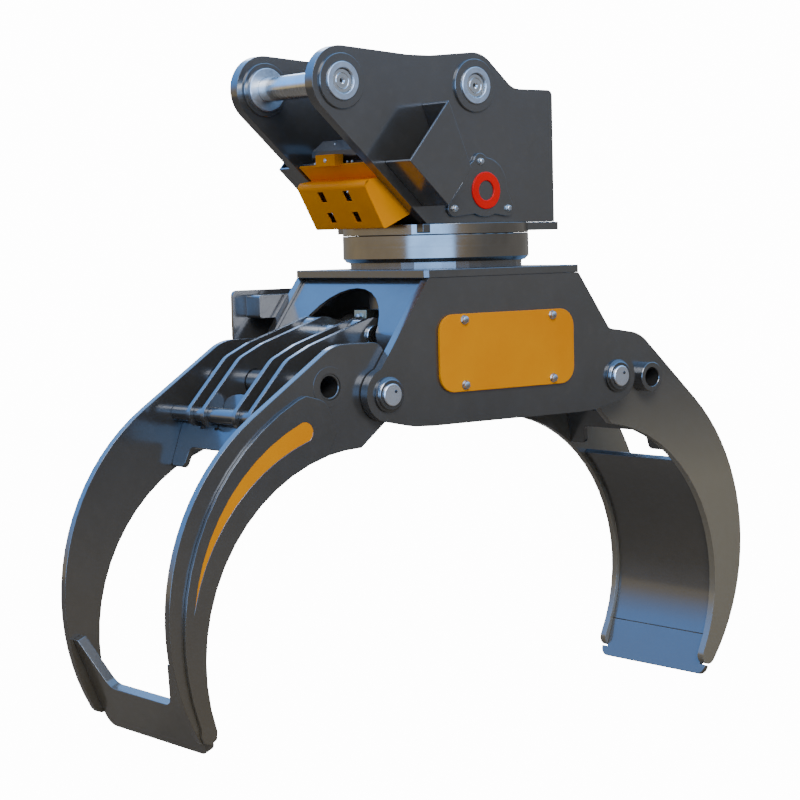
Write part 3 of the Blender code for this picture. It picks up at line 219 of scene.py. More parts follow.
class ShaderGraph(NodeGraph):
    """A material's node tree round its Principled shader."""

    def __init__(self, name: str) -> None:
        """Start a material that has only its shader.

        Args:
            name: The material's name.
        """
        self.material = bpy.data.materials.new(name)
        self.material.use_nodes = True
        super().__init__(self.material.node_tree)
        self.shader = self.tree.nodes["Principled BSDF"]

    def surface(self, values: dict[str, object]) -> None:
        """Feed several of the shader's inputs by name."""
        for title, value in values.items():
            self.feed(self.shader.inputs[title], value)

    def place(self, centre: Sequence[float] = (0.0, 0.0, 0.0)) -> bpy.types.NodeSocket:
        """Object coordinates counted from a centre.

        Args:
            centre: The point that the pattern is centred on.

        Returns:
            The vector socket.
        """
        source = self.add("ShaderNodeTexCoord").outputs["Object"]
        shift = [-value for value in centre]
        return self.add("ShaderNodeMapping", {"Vector": source, "Location": shift}).outputs["Vector"]

    def noise(self, vector: bpy.types.NodeSocket, scale: float, detail: float = 3.0) -> bpy.types.NodeSocket:
        """Noise of a given scale.

        Args:
            vector: Where the noise is read.
            scale: Cells in a metre.
            detail: How many finer layers are added.

        Returns:
            The factor socket.
        """
        wanted = {"Vector": vector, "Scale": scale, "Detail": detail}
        return self.add("ShaderNodeTexNoise", wanted).outputs[0]

    def bump(self, height: bpy.types.NodeSocket, strength: float, distance: float) -> None:
        """Raise the surface by a height.

        Args:
            height: The height socket.
            strength: How strongly it shows.
            distance: The height that a full value stands for.
        """
        wanted = {"Height": height, "Strength": strength, "Distance": distance}
        self.surface({"Normal": self.add("ShaderNodeBump", wanted).outputs["Normal"]})


def shade(colour: Colour, factor: float) -> Colour:
    """A colour made darker or lighter by a factor."""
    return tuple(min(1.0, value * factor) for value in colour)


def around(value: float, span: Point) -> Point:
    """The range that reaches below and above a value by a span."""
    return value + span[0], value + span[1]


@dataclass(frozen=True)
class Paint:
    """Sprayed coat on fabricated steel: fine orange peel, slow mottling and a little dust.

    The warm tone that grows from one height down to a lower one is a painted reflection, a stand-in for
    reflected light.
    """

    name: str
    slot: Slot
    colour: Colour
    roughness: float = 0.34
    coat: float = 1.0
    coat_roughness: float = 0.14
    coat_ior: float = 1.9
    gloss: float = 0.5
    # Painted reflection: a warm tone that fills in towards the bottom. These fields give its colour, strength
    # and heights.
    painted_reflection: Colour = (0.110, 0.092, 0.062)
    painted_reflection_share: float = 0.0
    painted_reflection_from: float = -0.75
    painted_reflection_to: float = -1.20
    dust: float = 0.05
    dust_colour: Colour = (0.20, 0.18, 0.15)
    dust_scale: float = 46.0
    dust_span: Point = (0.52, 0.78)
    cloud_scale: float = 6.0
    cloud_shades: Point = (0.90, 1.12)
    rub_scale: float = 24.0
    rub_span: Point = (-0.05, 0.06)
    peel_scale: float = 520.0
    peel_height: float = 0.00004
    peel_strength: float = 0.35

    def material(self) -> bpy.types.Material:
        """Build the material.

        Returns:
            The paint's material.
        """
        graph = ShaderGraph(self.name)
        spot = graph.place()
        cloud = graph.remap(graph.noise(spot, self.cloud_scale), NOISE_CORE, FULL)
        dark, light = (shade(self.colour, factor) for factor in self.cloud_shades)
        body = graph.blend(cloud, dark, light)
        # Painted reflection: below a given height the colour turns towards a warm tone.
        if self.painted_reflection_share:
            height = graph.add("ShaderNodeSeparateXYZ", {0: spot}).outputs[2]
            low = graph.remap(height, (self.painted_reflection_from, self.painted_reflection_to), (0.0, self.painted_reflection_share))
            body = graph.blend(low, body, self.painted_reflection)
        film = graph.remap(graph.noise(spot, self.dust_scale, detail=6.0), self.dust_span, (0.0, self.dust))
        rub = graph.remap(graph.noise(spot, self.rub_scale, detail=4.0), NOISE_CORE, self.rub_span)
        graph.surface({"Base Color": graph.blend(film, body, self.dust_colour),
                       "Roughness": graph.math("ADD", rub, self.roughness),
                       "Coat Weight": self.coat, "Coat Roughness": self.coat_roughness,
                       "Coat IOR": self.coat_ior, "Specular IOR Level": self.gloss})
        graph.bump(graph.noise(spot, self.peel_scale, detail=2.0), self.peel_strength, self.peel_height)
        return graph.material


@dataclass(frozen=True)
class TurnedSteel:
    """Lathe-turned steel: fine rings about an axis, on the round side and on the end faces."""

    name: str
    slot: Slot
    colour: Colour
    axis: Axis
    centre: Place
    roughness: float = 0.24
    roughness_span: Point = (-0.05, 0.07)
    stain_scale: float = 18.0
    stain_span: Point = (0.35, 0.70)
    stain_shades: Point = (1.06, 0.86)
    ring_scale: float = 1500.0
    ring_height: float = 0.00002
    ring_strength: float = 0.30

    def material(self) -> bpy.types.Material:
        """Build the material.

        Returns:
            The steel's material.
        """
        graph = ShaderGraph(self.name)
        spot = graph.place(self.centre)
        flat = (1.0, 1.0, 0.0) if self.axis is Axis.Z else (1.0, 0.0, 1.0)
        across = graph.vector("MULTIPLY", spot, flat).outputs[0]
        radius = graph.add("ShaderNodeVectorMath", {0: across}, operation="LENGTH").outputs["Value"]
        parts = graph.add("ShaderNodeSeparateXYZ", {0: spot})
        along = parts.outputs[2 if self.axis is Axis.Z else 1]
        lathe = graph.add("ShaderNodeCombineXYZ", {0: radius, 1: along}).outputs[0]
        rings = graph.noise(lathe, self.ring_scale, detail=2.0)
        stain = graph.remap(graph.noise(spot, self.stain_scale, detail=5.0), self.stain_span, FULL)
        clean, stained = (shade(self.colour, factor) for factor in self.stain_shades)
        rough = graph.remap(rings, NOISE_CORE, around(self.roughness, self.roughness_span))
        graph.surface({"Base Color": graph.blend(stain, clean, stained), "Roughness": rough, "Metallic": 1.0})
        graph.bump(rings, self.ring_strength, self.ring_height)
        return graph.material


@dataclass(frozen=True)
class PlatedSteel:
    """Plated or ground steel: cloudy tone, soft scratches and uneven gloss."""

    name: str
    slot: Slot
    colour: Colour
    roughness: float = 0.32
    roughness_span: Point = (-0.06, 0.08)
    cloud_scale: float = 90.0
    cloud_shades: Point = (0.88, 1.08)
    scratch_stretch: Place = (1.0, 14.0, 1.0)
    scratch_scale: float = 420.0
    scratch_height: float = 0.00002
    scratch_strength: float = 0.20

    def material(self) -> bpy.types.Material:
        """Build the material.

        Returns:
            The steel's material.
        """
        graph = ShaderGraph(self.name)
        spot = graph.place()
        cloud = graph.remap(graph.noise(spot, self.cloud_scale, detail=4.0), NOISE_CORE, FULL)
        dark, light = (shade(self.colour, factor) for factor in self.cloud_shades)
        drawn = graph.vector("MULTIPLY", spot, self.scratch_stretch).outputs[0]
        marks = graph.noise(drawn, self.scratch_scale, detail=3.0)
        rough = graph.remap(marks, NOISE_CORE, around(self.roughness, self.roughness_span))
        graph.surface({"Base Color": graph.blend(cloud, dark, light), "Roughness": rough, "Metallic": 1.0})
        graph.bump(marks, self.scratch_strength, self.scratch_height)
        return graph.material


Finish = Paint | TurnedSteel | PlatedSteel

GREY: Colour = (0.045, 0.045, 0.045)
# The dark paint carries a warm painted reflection towards the bottom.
DARK_PAINT = Paint("dark_grey_paint", Slot.DARK, GREY, painted_reflection_share=0.85)
# The right tine's plates carry a lighter warm painted reflection towards their lower part.
RIGHT_TINE_PAINT = Paint("right_tine_grey_paint", Slot.DARK, GREY, painted_reflection=(0.290, 0.262, 0.196),
                         painted_reflection_share=0.80, painted_reflection_from=-0.60, painted_reflection_to=-0.86)
BLACK_PAINT = Paint("valve_cover_black", Slot.DARK, (0.012, 0.012, 0.012), roughness=0.40, coat=0.4)
ORANGE_PAINT = Paint("orange_coat", Slot.ORANGE, (1.000, 0.360, 0.000), roughness=0.42, coat=0.0,
                     gloss=0.12, dust=0.02, dust_colour=(0.50, 0.16, 0.01))
RED_PAINT = Paint("red_ring_coat", Slot.DARK, (0.900, 0.002, 0.002), roughness=0.42, coat=0.0,
                  gloss=0.25, dust=0.02, dust_colour=(0.30, 0.05, 0.04))
BUSH_STEEL = PlatedSteel("ground_bush", Slot.BUSH, (0.66, 0.66, 0.65), roughness=0.40)
BOLT_ZINC = PlatedSteel("bolt_zinc", Slot.BRIGHT, (0.56, 0.54, 0.50), roughness=0.30)
CLAMP_ZINC = PlatedSteel("clamp_zinc", Slot.ZINC, (0.50, 0.52, 0.40), roughness=0.34)
PIPE_STEEL = PlatedSteel("pipe_steel", Slot.BRIGHT, (0.62, 0.64, 0.66), roughness=0.20)


def arc(centre: Point, radius: float, start: float, end: float, steps: int) -> list[Point]:
    """Points along a circle.

    Args:
        centre: The circle's centre.
        radius: Its radius.
        start: The first angle, in degrees.
        end: The last angle, in degrees.
        steps: How many steps lie between them.

    Returns:
        The points, both ends included.
    """
    turns = [math.radians(start + (end - start) * step / steps) for step in range(steps + 1)]
    return [(centre[0] + radius * math.cos(turn), centre[1] + radius * math.sin(turn)) for turn in turns]


def circle_through(first: Point, middle: Point, last: Point) -> tuple[Point, float]:
    """The circle through three points.

    Args:
        first: One point of it.
        middle: Another.
        last: A third, not in line with the others.

    Returns:
        Its centre and its radius.
    """
    (ax, az), (bx, bz), (cx, cz) = first, middle, last
    det = 2.0 * (ax * (bz - cz) + bx * (cz - az) + cx * (az - bz))
    sa, sb, sc = (x * x + z * z for x, z in (first, middle, last))
    centre = ((sa * (bz - cz) + sb * (cz - az) + sc * (az - bz)) / det,
              (sa * (cx - bx) + sb * (ax - cx) + sc * (bx - ax)) / det)
    return centre, math.dist(centre, first)


def arc_through(first: Point, middle: Point, last: Point, steps: int, grow: float = 0.0) -> list[Point]:
    """Points along the circle through three points.

    Args:
        first: Where the arc starts.
        middle: A point on it.
        last: Where it ends.
        steps: How many steps it has.
        grow: How much wider than that circle the arc is.

    Returns:
        The points, both ends included.
    """
    centre, radius = circle_through(first, middle, last)
    start = math.degrees(math.atan2(first[1] - centre[1], first[0] - centre[0]))
    end = math.degrees(math.atan2(last[1] - centre[1], last[0] - centre[0]))
    turn = (end - start + 180.0) % 360.0 - 180.0
    return arc(centre, radius + grow, start, start + turn, steps)


def mirrored(end: Sequence[Point]) -> list[Point]:
    """A turned profile that has the same shape at both ends, from one of them."""
    return [*end, *((radius, -along) for radius, along in reversed(end))]


def bar_profile(radius: float, half: float, chamfer: float) -> list[Point]:
    """Profile of a solid round bar with chamfered ends."""
    return mirrored([(0.0, half), (radius - chamfer, half), (radius, half - chamfer)])


def round_size(node: str) -> Point:
    """Radius and half length of a round CAD node that lies across the part."""
    low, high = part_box(node)
    return (high.z - low.z) / 2.0, high.y


def turned(profile: Sequence[Point], centre: Vector, axis: Axis, side: float = 1.0,
           facets: int = 72) -> bpy.types.Mesh:
    """Mesh of a profile turned about an axis, with its poles closed.

    Args:
        profile: (radius, distance along the axis) points. One that touches the axis at both ends is
            solid, and any other is a closed ring.
        centre: A point on the axis, from which the distances count.
        axis: The direction of the axis.
        side: 1 or -1, the way along the axis that the distances go.
        facets: How many faces go round the piece.

    Returns:
        The mesh, with its faces pointing out.
    """
    along = Vector((0.0, side, 0.0)) if axis is Axis.Y else Vector((0.0, 0.0, side))
    first = Vector((1.0, 0.0, 0.0))
    second = along.cross(first)
    work = bmesh.new()
    rings = []
    for radius, distance in profile:
        base = centre + along * distance
        if radius <= 0.0:
            rings.append([work.verts.new(base)])
            continue
        turns = (2.0 * math.pi * step / facets for step in range(facets))
        rings.append([work.verts.new(base + (first * math.cos(t) + second * math.sin(t)) * radius)
                      for t in turns])
    pairs = list(zip(rings, rings[1:]))
    if profile[0][0] > 0.0:
        pairs.append((rings[-1], rings[0]))
    for lower, upper in pairs:
        for step in range(facets):
            after = (step + 1) % facets
            corners = [lower[step % len(lower)], lower[after % len(lower)],
                       upper[after % len(upper)], upper[step % len(upper)]]
            work.faces.new(dict.fromkeys(corners))
    bmesh.ops.recalc_face_normals(work, faces=work.faces)
    mesh = bpy.data.meshes.new("turned")
    work.to_mesh(mesh)
    work.free()
    return smoothed(mesh)


def evaluated(holder: bpy.types.Object) -> bpy.types.Mesh:
    """Turn an object with its modifiers into a plain mesh, and remove the object.

    Args:
        holder: The object, in no collection yet.

    Returns:
        The mesh.
    """
    bpy.context.scene.collection.objects.link(holder)
    graph = bpy.context.evaluated_depsgraph_get()
    mesh = bpy.data.meshes.new_from_object(holder.evaluated_get(graph))
    bpy.data.objects.remove(holder)
    return mesh


def extruded(outline: Sequence[Point], near: float, far: float) -> bpy.types.Mesh:
    """Mesh of an upright plate seen from the front.

    Args:
        outline: (x, z) points of its edge.
        near: Its lowest y.
        far: Its highest y.

    Returns:
        The mesh, with its faces pointing out.
    """
    curve = bpy.data.curves.new("plate", "CURVE")
    curve.dimensions = "2D"
    curve.fill_mode = "BOTH"
    curve.extrude = (far - near) / 2.0
    spline = curve.splines.new("POLY")
    spline.points.add(len(outline) - 1)
    for point, (x, z) in zip(spline.points, outline):
        point.co = (x, z, 0.0, 1.0)
    spline.use_cyclic_u = True
    mesh = evaluated(bpy.data.objects.new("plate", curve))
    upright = Matrix.Rotation(math.pi / 2.0, 4, "X")
    mesh.transform(Matrix.Translation((0.0, (near + far) / 2.0, 0.0)) @ upright)
    return merged(mesh)


def smoothed(mesh: bpy.types.Mesh) -> bpy.types.Mesh:
    """Shade a mesh smooth, apart from its sharp edges.

    Args:
        mesh: The mesh to change.

    Returns:
        The same mesh.
    """
    mesh.shade_smooth()
    mesh.set_sharp_from_angle(angle=SHARP_ANGLE)
    return mesh


def merged(mesh: bpy.types.Mesh) -> bpy.types.Mesh:
    """Merge a mesh's doubles, join its flat faces and turn its normals outward.

    Args:
        mesh: The mesh to change.

    Returns:
        The same mesh.
    """
    work = bmesh.new()
    work.from_mesh(mesh)
    bmesh.ops.remove_doubles(work, verts=work.verts, dist=WELD_DISTANCE)
    bmesh.ops.recalc_face_normals(work, faces=work.faces)
    bmesh.ops.dissolve_limit(work, angle_limit=FLAT_ANGLE, verts=work.verts, edges=work.edges)
    work.to_mesh(mesh)
    work.free()
    return smoothed(mesh)


def softened(mesh: bpy.types.Mesh, width: float, segments: int = 2) -> bpy.types.Mesh:
    """Round a mesh's sharp edges.

    Args:
        mesh: A merged mesh.
        width: How far the rounding reaches.
        segments: Faces across it.

    Returns:
        The rounded mesh.
    """
    holder = bpy.data.objects.new("softened", mesh)
    bevel = holder.modifiers.new("edges", "BEVEL")
    bevel.width = width
    bevel.segments = segments
    bevel.limit_method = "ANGLE"
    bevel.angle_limit = SHARP_ANGLE
    bevel.use_clamp_overlap = True
    bevel.harden_normals = True
    return evaluated(holder)


def joined(meshes: Sequence[bpy.types.Mesh]) -> bpy.types.Mesh:
    """Put several meshes into one.

    Args:
        meshes: The meshes, each in its place.

    Returns:
        The one mesh.
    """
    work = bmesh.new()
    for mesh in meshes:
        work.from_mesh(mesh)
    whole = bpy.data.meshes.new("joined")
    work.to_mesh(whole)
    work.free()
    return smoothed(whole)


class Bench:
    """Where pieces are finished: it dresses CAD nodes and places new pieces on their bodies."""

    def __init__(self) -> None:
        """Start with no material made."""
        self.made: dict[str, bpy.types.Material] = {}

    def coat(self, finish: Finish) -> bpy.types.Material:
        """Give the material of a finish, made once.

        Args:
            finish: The finish.

        Returns:
            Its material.
        """
        if finish.name not in self.made:
            self.made[finish.name] = finish.material()
        return self.made[finish.name]

    def body(self, node: str) -> str:
        """The body that a CAD node rides on."""
        return frame["nodes"][node]["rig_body"]

    def middle(self, node: str) -> Vector:
        """The middle of a CAD node's box."""
        low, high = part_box(node)
        return (low + high) / 2.0

    def piece(self, name: str, mesh: bpy.types.Mesh, finish: Finish, body: str,
              replaces: Sequence[str] = ()) -> None:
        """Place a finished piece.

        Args:
            name: The piece's name.
            mesh: Its mesh, in place.
            finish: Its finish.
            body: The body that it rides on.
            replaces: CAD nodes that it stands for.
        """
        mesh.materials.clear()
        mesh.materials.append(self.coat(finish))
        thing = bpy.data.objects.new(name, mesh)
        bpy.context.scene.collection.objects.link(thing)
        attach(thing, body)
        if replaces:
            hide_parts(*replaces)
        LOG.info("%s rides on %s, %d faces", name, body, len(mesh.polygons))

    def stand_in(self, node: str, mesh: bpy.types.Mesh, finish: Finish) -> None:
        """Place a finished piece that stands for one CAD node, on that node's body."""
        self.piece(node + "_dressed", mesh, finish, self.body(node), (node,))

    def dress(self, node: str, finish: Finish, edge: Edge = Edge.PLATE) -> None:
        """Stand a softened copy of a CAD node in its place.

        Args:
            node: The CAD node.
            finish: The finish that it gets.
            edge: How far its edges are rounded.
        """
        copy = merged(frame["nodes"][node].data.copy())
        if edge is not Edge.AS_PACKED:
            copy = softened(copy, edge.value)
        self.stand_in(node, copy, finish)

    def carry(self, node: str, finish: Finish) -> None:
        """Give a CAD node that stays a finish of its own.

        Args:
            node: The CAD node.
            finish: The finish that it gets.
        """
        thing = frame["nodes"][node]
        thing.data.materials.clear()
        thing.data.materials.append(self.coat(finish))
        LOG.info("%s keeps its shape", node)

    def turned_steel(self, node: str, colour: Colour, axis: Axis, slot: Slot,
                     roughness: float = 0.24) -> TurnedSteel:
        """Turned finish whose rings are centred on a CAD node.

        Args:
            node: The node that gives the axis.
            colour: The steel's tone.
            axis: The direction of the axis.
            slot: The record's slot.
            roughness: How dull the steel is.

        Returns:
            The finish.
        """
        return TurnedSteel(node + "_turned", slot, colour, axis, tuple(self.middle(node)), roughness)


@dataclass(frozen=True)
class Spot:
    """One place that a bolt sits at, and the way that its head faces."""

    at: Place
    facing: Place


@dataclass(frozen=True)
class BoltSize:
    """Sizes of one kind of bolt, screw, plug or fitting."""

    head_radius: float
    head_height: float
    washer_radius: float
    washer_height: float
    crown: float = 0.0012


PANEL_BOLT = BoltSize(0.0080, 0.0055, 0.0092, 0.0014)
CLAMP_BOLT = BoltSize(0.0075, 0.0055, 0.0088, 0.0014)
SIDE_COVER_BOLT = BoltSize(0.0062, 0.0045, 0.0072, 0.0011)
TAB_BOLT = BoltSize(0.0048, 0.0035, 0.0060, 0.0010)
VALVE_SCREW = BoltSize(0.0026, 0.0018, 0.0032, 0.0006, 0.0005)
# A black plug set deep in a pin's centre hole, standing for the shade inside the hole.
HOLE_SHADE_PLUG = BoltSize(0.0026, 0.0030, 0.0036, 0.0008)
PIN_PLUG = BoltSize(0.0026, 0.0008, 0.0032, 0.0004)


@dataclass(frozen=True)
class BoltSet:
    """Hex bolts with washers and crowned heads, instanced by Geometry Nodes on a few points.

    The tree's inputs are the bolt's sizes, its finish and the seed that turns each head on its own.
    """

    name: str
    body: str
    spots: tuple[Spot, ...]
    size: BoltSize
    sides: int = 6
    seed: int = 7
    washer_facets: int = 32
    crown_facets: int = 24
    crown_foot: float = 0.85
    crown_top: float = 0.60

    def inputs(self) -> dict[str, tuple[str, object]]:
        """Name the tree's inputs.

        Returns:
            The kind of socket and the value of each.
        """
        size = self.size
        return {"Head Radius": ("Float", size.head_radius), "Head Height": ("Float", size.head_height),
                "Washer Radius": ("Float", size.washer_radius),
                "Washer Height": ("Float", size.washer_height), "Crown": ("Float", size.crown),
                "Sides": ("Int", self.sides), "Seed": ("Int", self.seed)}

    def tree(self) -> tuple[bpy.types.NodeTree, dict[str, str]]:
        """Build the node tree.

        Returns:
            The tree, and the identifier of each named input.
        """
        group = bpy.data.node_groups.new(self.name + "_tree", "GeometryNodeTree")
        group.interface.new_socket(name="Geometry", in_out="OUTPUT", socket_type="NodeSocketGeometry")
        group.interface.new_socket(name="Points", in_out="INPUT", socket_type="NodeSocketGeometry")
        kinds = {title: kind for title, (kind, _) in self.inputs().items()} | {"Finish": "Material"}
        names = {title: group.interface.new_socket(name=title, in_out="INPUT",
                                                   socket_type="NodeSocket" + kind).identifier
                 for title, kind in kinds.items()}
        graph = NodeGraph(group)
        given = graph.add("NodeGroupInput").outputs
        head_radius, head_height, washer_height = (given[title] for title in (
            "Head Radius", "Head Height", "Washer Height"))

        def raised(mesh: bpy.types.NodeSocket, height: bpy.types.NodeSocket) -> bpy.types.NodeSocket:
            """A shape of the bolt lifted along its axis."""
            lift = graph.add("ShaderNodeCombineXYZ", {"Z": height}).outputs[0]
            return graph.add("GeometryNodeTransform", {"Geometry": mesh, "Translation": lift}).outputs[0]

        washer_half = graph.math("MULTIPLY", washer_height, 0.5)
        head_half = graph.math("MULTIPLY", head_height, 0.5)
        washer = graph.add("GeometryNodeMeshCylinder", {
            "Vertices": self.washer_facets, "Radius": given["Washer Radius"], "Depth": washer_height})
        head = graph.add("GeometryNodeMeshCylinder", {
            "Vertices": given["Sides"], "Radius": head_radius, "Depth": head_height})
        crown = graph.add("GeometryNodeMeshCone", {
            "Vertices": self.crown_facets, "Depth": given["Crown"],
            "Radius Bottom": graph.math("MULTIPLY", head_radius, self.crown_foot),
            "Radius Top": graph.math("MULTIPLY", head_radius, self.crown_top)})
        join = graph.add("GeometryNodeJoinGeometry")
        for shape, height in ((washer, washer_half), (head, graph.math("ADD", washer_height, head_half)),
                              (crown, graph.math("ADD", washer_height, head_height))):
            graph.feed(join.inputs[0], raised(shape.outputs["Mesh"], height))
        facing = graph.add("GeometryNodeInputNamedAttribute", {"Name": "facing"}, data_type="FLOAT_VECTOR")
        aim = graph.add("FunctionNodeAlignRotationToVector", {"Vector": facing.outputs[0]}, axis="Z")
        spin = graph.add("FunctionNodeRandomValue", {"Seed": given["Seed"]}, data_type="FLOAT")
        angle = next(socket for socket in spin.outputs if socket.enabled)
        about = graph.add("ShaderNodeCombineXYZ", {"Z": angle}).outputs[0]
        own = graph.add("FunctionNodeEulerToRotation", {0: about}).outputs[0]
        turn = graph.add("FunctionNodeRotateRotation", {0: aim.outputs[0], 1: own}, rotation_space="LOCAL")
        points = graph.add("GeometryNodeMeshToPoints", {"Mesh": given["Points"]}).outputs[0]
        placed = graph.add("GeometryNodeInstanceOnPoints", {
            "Points": points, "Instance": join.outputs[0], "Rotation": turn.outputs[0]}).outputs[0]
        real = graph.add("GeometryNodeRealizeInstances", {"Geometry": placed}).outputs[0]
        done = graph.add("GeometryNodeSetMaterial", {"Geometry": real, "Material": given["Finish"]})
        graph.add("NodeGroupOutput", {0: done.outputs[0]})
        return group, names

    def build(self, bench: Bench, finish: Finish) -> None:
        """Make the bolts as one plain mesh.

        Args:
            bench: Where the piece is placed.
            finish: The bolts' finish.
        """
        seats = bpy.data.meshes.new(self.name + "_seats")
        seats.from_pydata([spot.at for spot in self.spots], [], [])
        facing = seats.attributes.new("facing", "FLOAT_VECTOR", "POINT")
        for value, spot in zip(facing.data, self.spots):
            value.vector = spot.facing
        tree, names = self.tree()
        holder = bpy.data.objects.new(self.name + "_holder", seats)
        step = holder.modifiers.new("bolts", "NODES")
        step.node_group = tree
        step[names["Finish"]] = bench.coat(finish)
        for title, (_, value) in self.inputs().items():
            step[names[title]] = value
        bench.piece(self.name, smoothed(evaluated(holder)), finish, self.body)


@dataclass
class Bracket:
    """Ears, eyes with bushes, arm pins, cross plates, channels, side cover, guard and valve cover."""

    body: str = "bracket"
    plates: tuple[str, ...] = ("ear_plate_near", "ear_plate_far", "base_plate", "bracket_end_plate",
                               "bracket_front_plate", "hose_channel_near", "hose_channel_far",
                               "side_cover")
    facets: int = 96
    chamfer: float = 0.0012
    boss_height: float = 0.005
    bush_radius: float = 0.0375
    bush_collar: float = 0.006
    bush_collar_radius: float = 0.0435
    pin_colour: Colour = (0.70, 0.69, 0.66)
    pin_roughness: float = 0.22
    pin_ring: float = 0.0145
    ring_cut: float = 0.0009
    centre_hole: float = 0.0062
    centre_depth: float = 0.008
    centre_mouth: float = 0.003
    centre_share: float = 0.6
    cover_bolts: tuple[Point, ...] = ((0.0025, 0.4545), (0.0750, 0.3588), (-0.0695, 0.3591))
    red_ring_at: Point = (0.0150, 0.395)
    red_ring_outer: float = 0.038
    red_ring_inner: float = 0.020
    red_ring_height: float = 0.003
    guard_bend: tuple[Point, Point, Point] = ((-0.2706, 0.4017), (-0.2717, 0.4106), (-0.2620, 0.4193))
    bend_steps: int = 14
    bend_skin: float = 0.0001
    bend_wall: float = 0.0030
    tab_inset: float = 0.004
    tab_drop: float = 0.041
    screw_rows: tuple[float, ...] = (-0.062, -0.046, 0.046, 0.062)
    screw_drop: float = 0.045
    top_screw_inset: float = 0.006
    top_screw_drop: float = 0.008
    fittings: tuple[tuple[str, Place, float], ...] = (
        ("hose_fitting_upper", (-0.2185, -0.020, 0.4122), 0.022),
        ("hose_fitting_lower", (-0.1805, 0.062, 0.3783), 0.033))
    fitting_facing: Place = (-0.8766, 0.0, -0.4810)
    fitting_radius: float = 0.0095
    fitting_foot: float = 1.3
    fitting_foot_height: float = 0.5
    fitting_crown: float = 0.0030

    def eye(self, bench: Bench, end: str, word: str, side: float) -> None:
        """Painted boss rings on both faces of an ear, and the ground bush through them.

        Args:
            bench: Where the pieces are placed.
            end: front or rear.
            word: near or far.
            side: -1 for the near ear and 1 for the far one.
        """
        node = f"pin_boss_{end}_{word}"
        low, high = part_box(node)
        ear_low, ear_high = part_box("ear_plate_" + word)
        centre = Vector(((low.x + high.x) / 2.0, 0.0, (low.z + high.z) / 2.0))
        inner, outer = sorted((abs(low.y), abs(high.y)))
        ear_in, ear_out = sorted((abs(ear_low.y), abs(ear_high.y)))
        boss = (high.z - low.z) / 2.0
        bore = round_size("arm_pin_" + end)[0] + PIN_PLAY
        bush, collar, c = self.bush_radius, self.bush_collar_radius, self.chamfer
        rings = []
        for start, stop in ((ear_out, ear_out + self.boss_height), (ear_in, ear_in - self.boss_height)):
            lean = math.copysign(c, stop - start)
            profile = [(bush, start), (boss, start), (boss, stop - lean), (boss - c, stop), (bush, stop)]
            rings.append(turned(profile, centre, Axis.Y, side, self.facets))
        bench.piece(f"boss_rings_{end}_{word}", joined(rings), DARK_PAINT, self.body, (node,))
        step = inner + self.bush_collar
        profile = [(bore, inner), (collar - c, inner), (collar, inner + c), (collar, step), (bush, step),
                   (bush, outer - c), (bush - c, outer), (bore + c, outer), (bore, outer - c)]
        mesh = turned(profile, centre, Axis.Y, side, self.facets)
        bench.piece(f"bush_{end}_{word}", mesh, BUSH_STEEL, self.body)

    def pin(self, bench: Bench, node: str) -> None:
        """Arm pin with chamfered ends, and a black plug at the floor of each centre hole as painted shade in
        the hole.

        Args:
            bench: Where the pieces are placed.
            node: The pin's CAD node.
        """
        radius, half = round_size(node)
        hole, ring, cut, c = self.centre_hole, self.pin_ring, self.ring_cut, self.chamfer
        narrow, floor = hole * self.centre_share, half - self.centre_depth
        end = [(0.0, floor), (narrow, floor), (narrow, half - self.centre_mouth), (hole, half), (ring, half),
               (ring + cut, half - cut), (ring + 2.0 * cut, half), (radius - 2.0 * c, half),
               (radius, half - 2.0 * c)]
        steel = bench.turned_steel(node, self.pin_colour, Axis.Y, Slot.BRIGHT, self.pin_roughness)
        centre = bench.middle(node)
        bench.stand_in(node, turned(mirrored(end), centre, Axis.Y, 1.0, self.facets), steel)
        # Black plugs at the floor of the centre holes are painted shade inside them.
        spots = tuple(Spot((centre.x, side * floor, centre.z), (0.0, side, 0.0)) for _, side in SIDES)
        BoltSet(node + "_grease_plugs", self.body, spots, HOLE_SHADE_PLUG).build(bench, BLACK_PAINT)

    def guard(self, bench: Bench, origin: Vector) -> None:
        """Valve guard, and the bent strip that closes its top front bend.

        Args:
            bench: Where the pieces are placed.
            origin: Where the slew frame's origin lies.
        """
        bench.dress("valve_guard", ORANGE_PAINT, Edge.COVER)
        outer = arc_through(*self.guard_bend, self.bend_steps, self.bend_skin)
        inner = arc_through(*self.guard_bend, self.bend_steps, -self.bend_wall)
        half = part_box("valve_guard")[1].y
        strip = [(origin.x + x, origin.z + z) for x, z in [*outer, *reversed(inner)]]
        bench.piece("guard_bend", extruded(strip, -half, half), ORANGE_PAINT, self.body)

    def cover_trim(self, bench: Bench, origin: Vector) -> None:
        """Plain red ring and three bolts on the round side cover.

        Args:
            bench: Where the pieces are placed.
            origin: Where the slew frame's origin lies.
        """
        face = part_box("side_cover")[0].y
        centre = origin + Vector((self.red_ring_at[0], face, self.red_ring_at[1]))
        inner, outer, height, c = self.red_ring_inner, self.red_ring_outer, self.red_ring_height, self.chamfer
        profile = [(inner, 0.0), (outer, 0.0), (outer, height - c), (outer - c, height), (inner + c, height),
                   (inner, height - c)]
        mesh = turned(profile, centre, Axis.Y, -1.0, self.facets)
        bench.piece("red_ring", mesh, RED_PAINT, self.body)
        spots = tuple(Spot(tuple(origin + Vector((x, face, z))), (0.0, -1.0, 0.0))
                      for x, z in self.cover_bolts)
        BoltSet("side_cover_bolts", self.body, spots, SIDE_COVER_BOLT).build(bench, BOLT_ZINC)

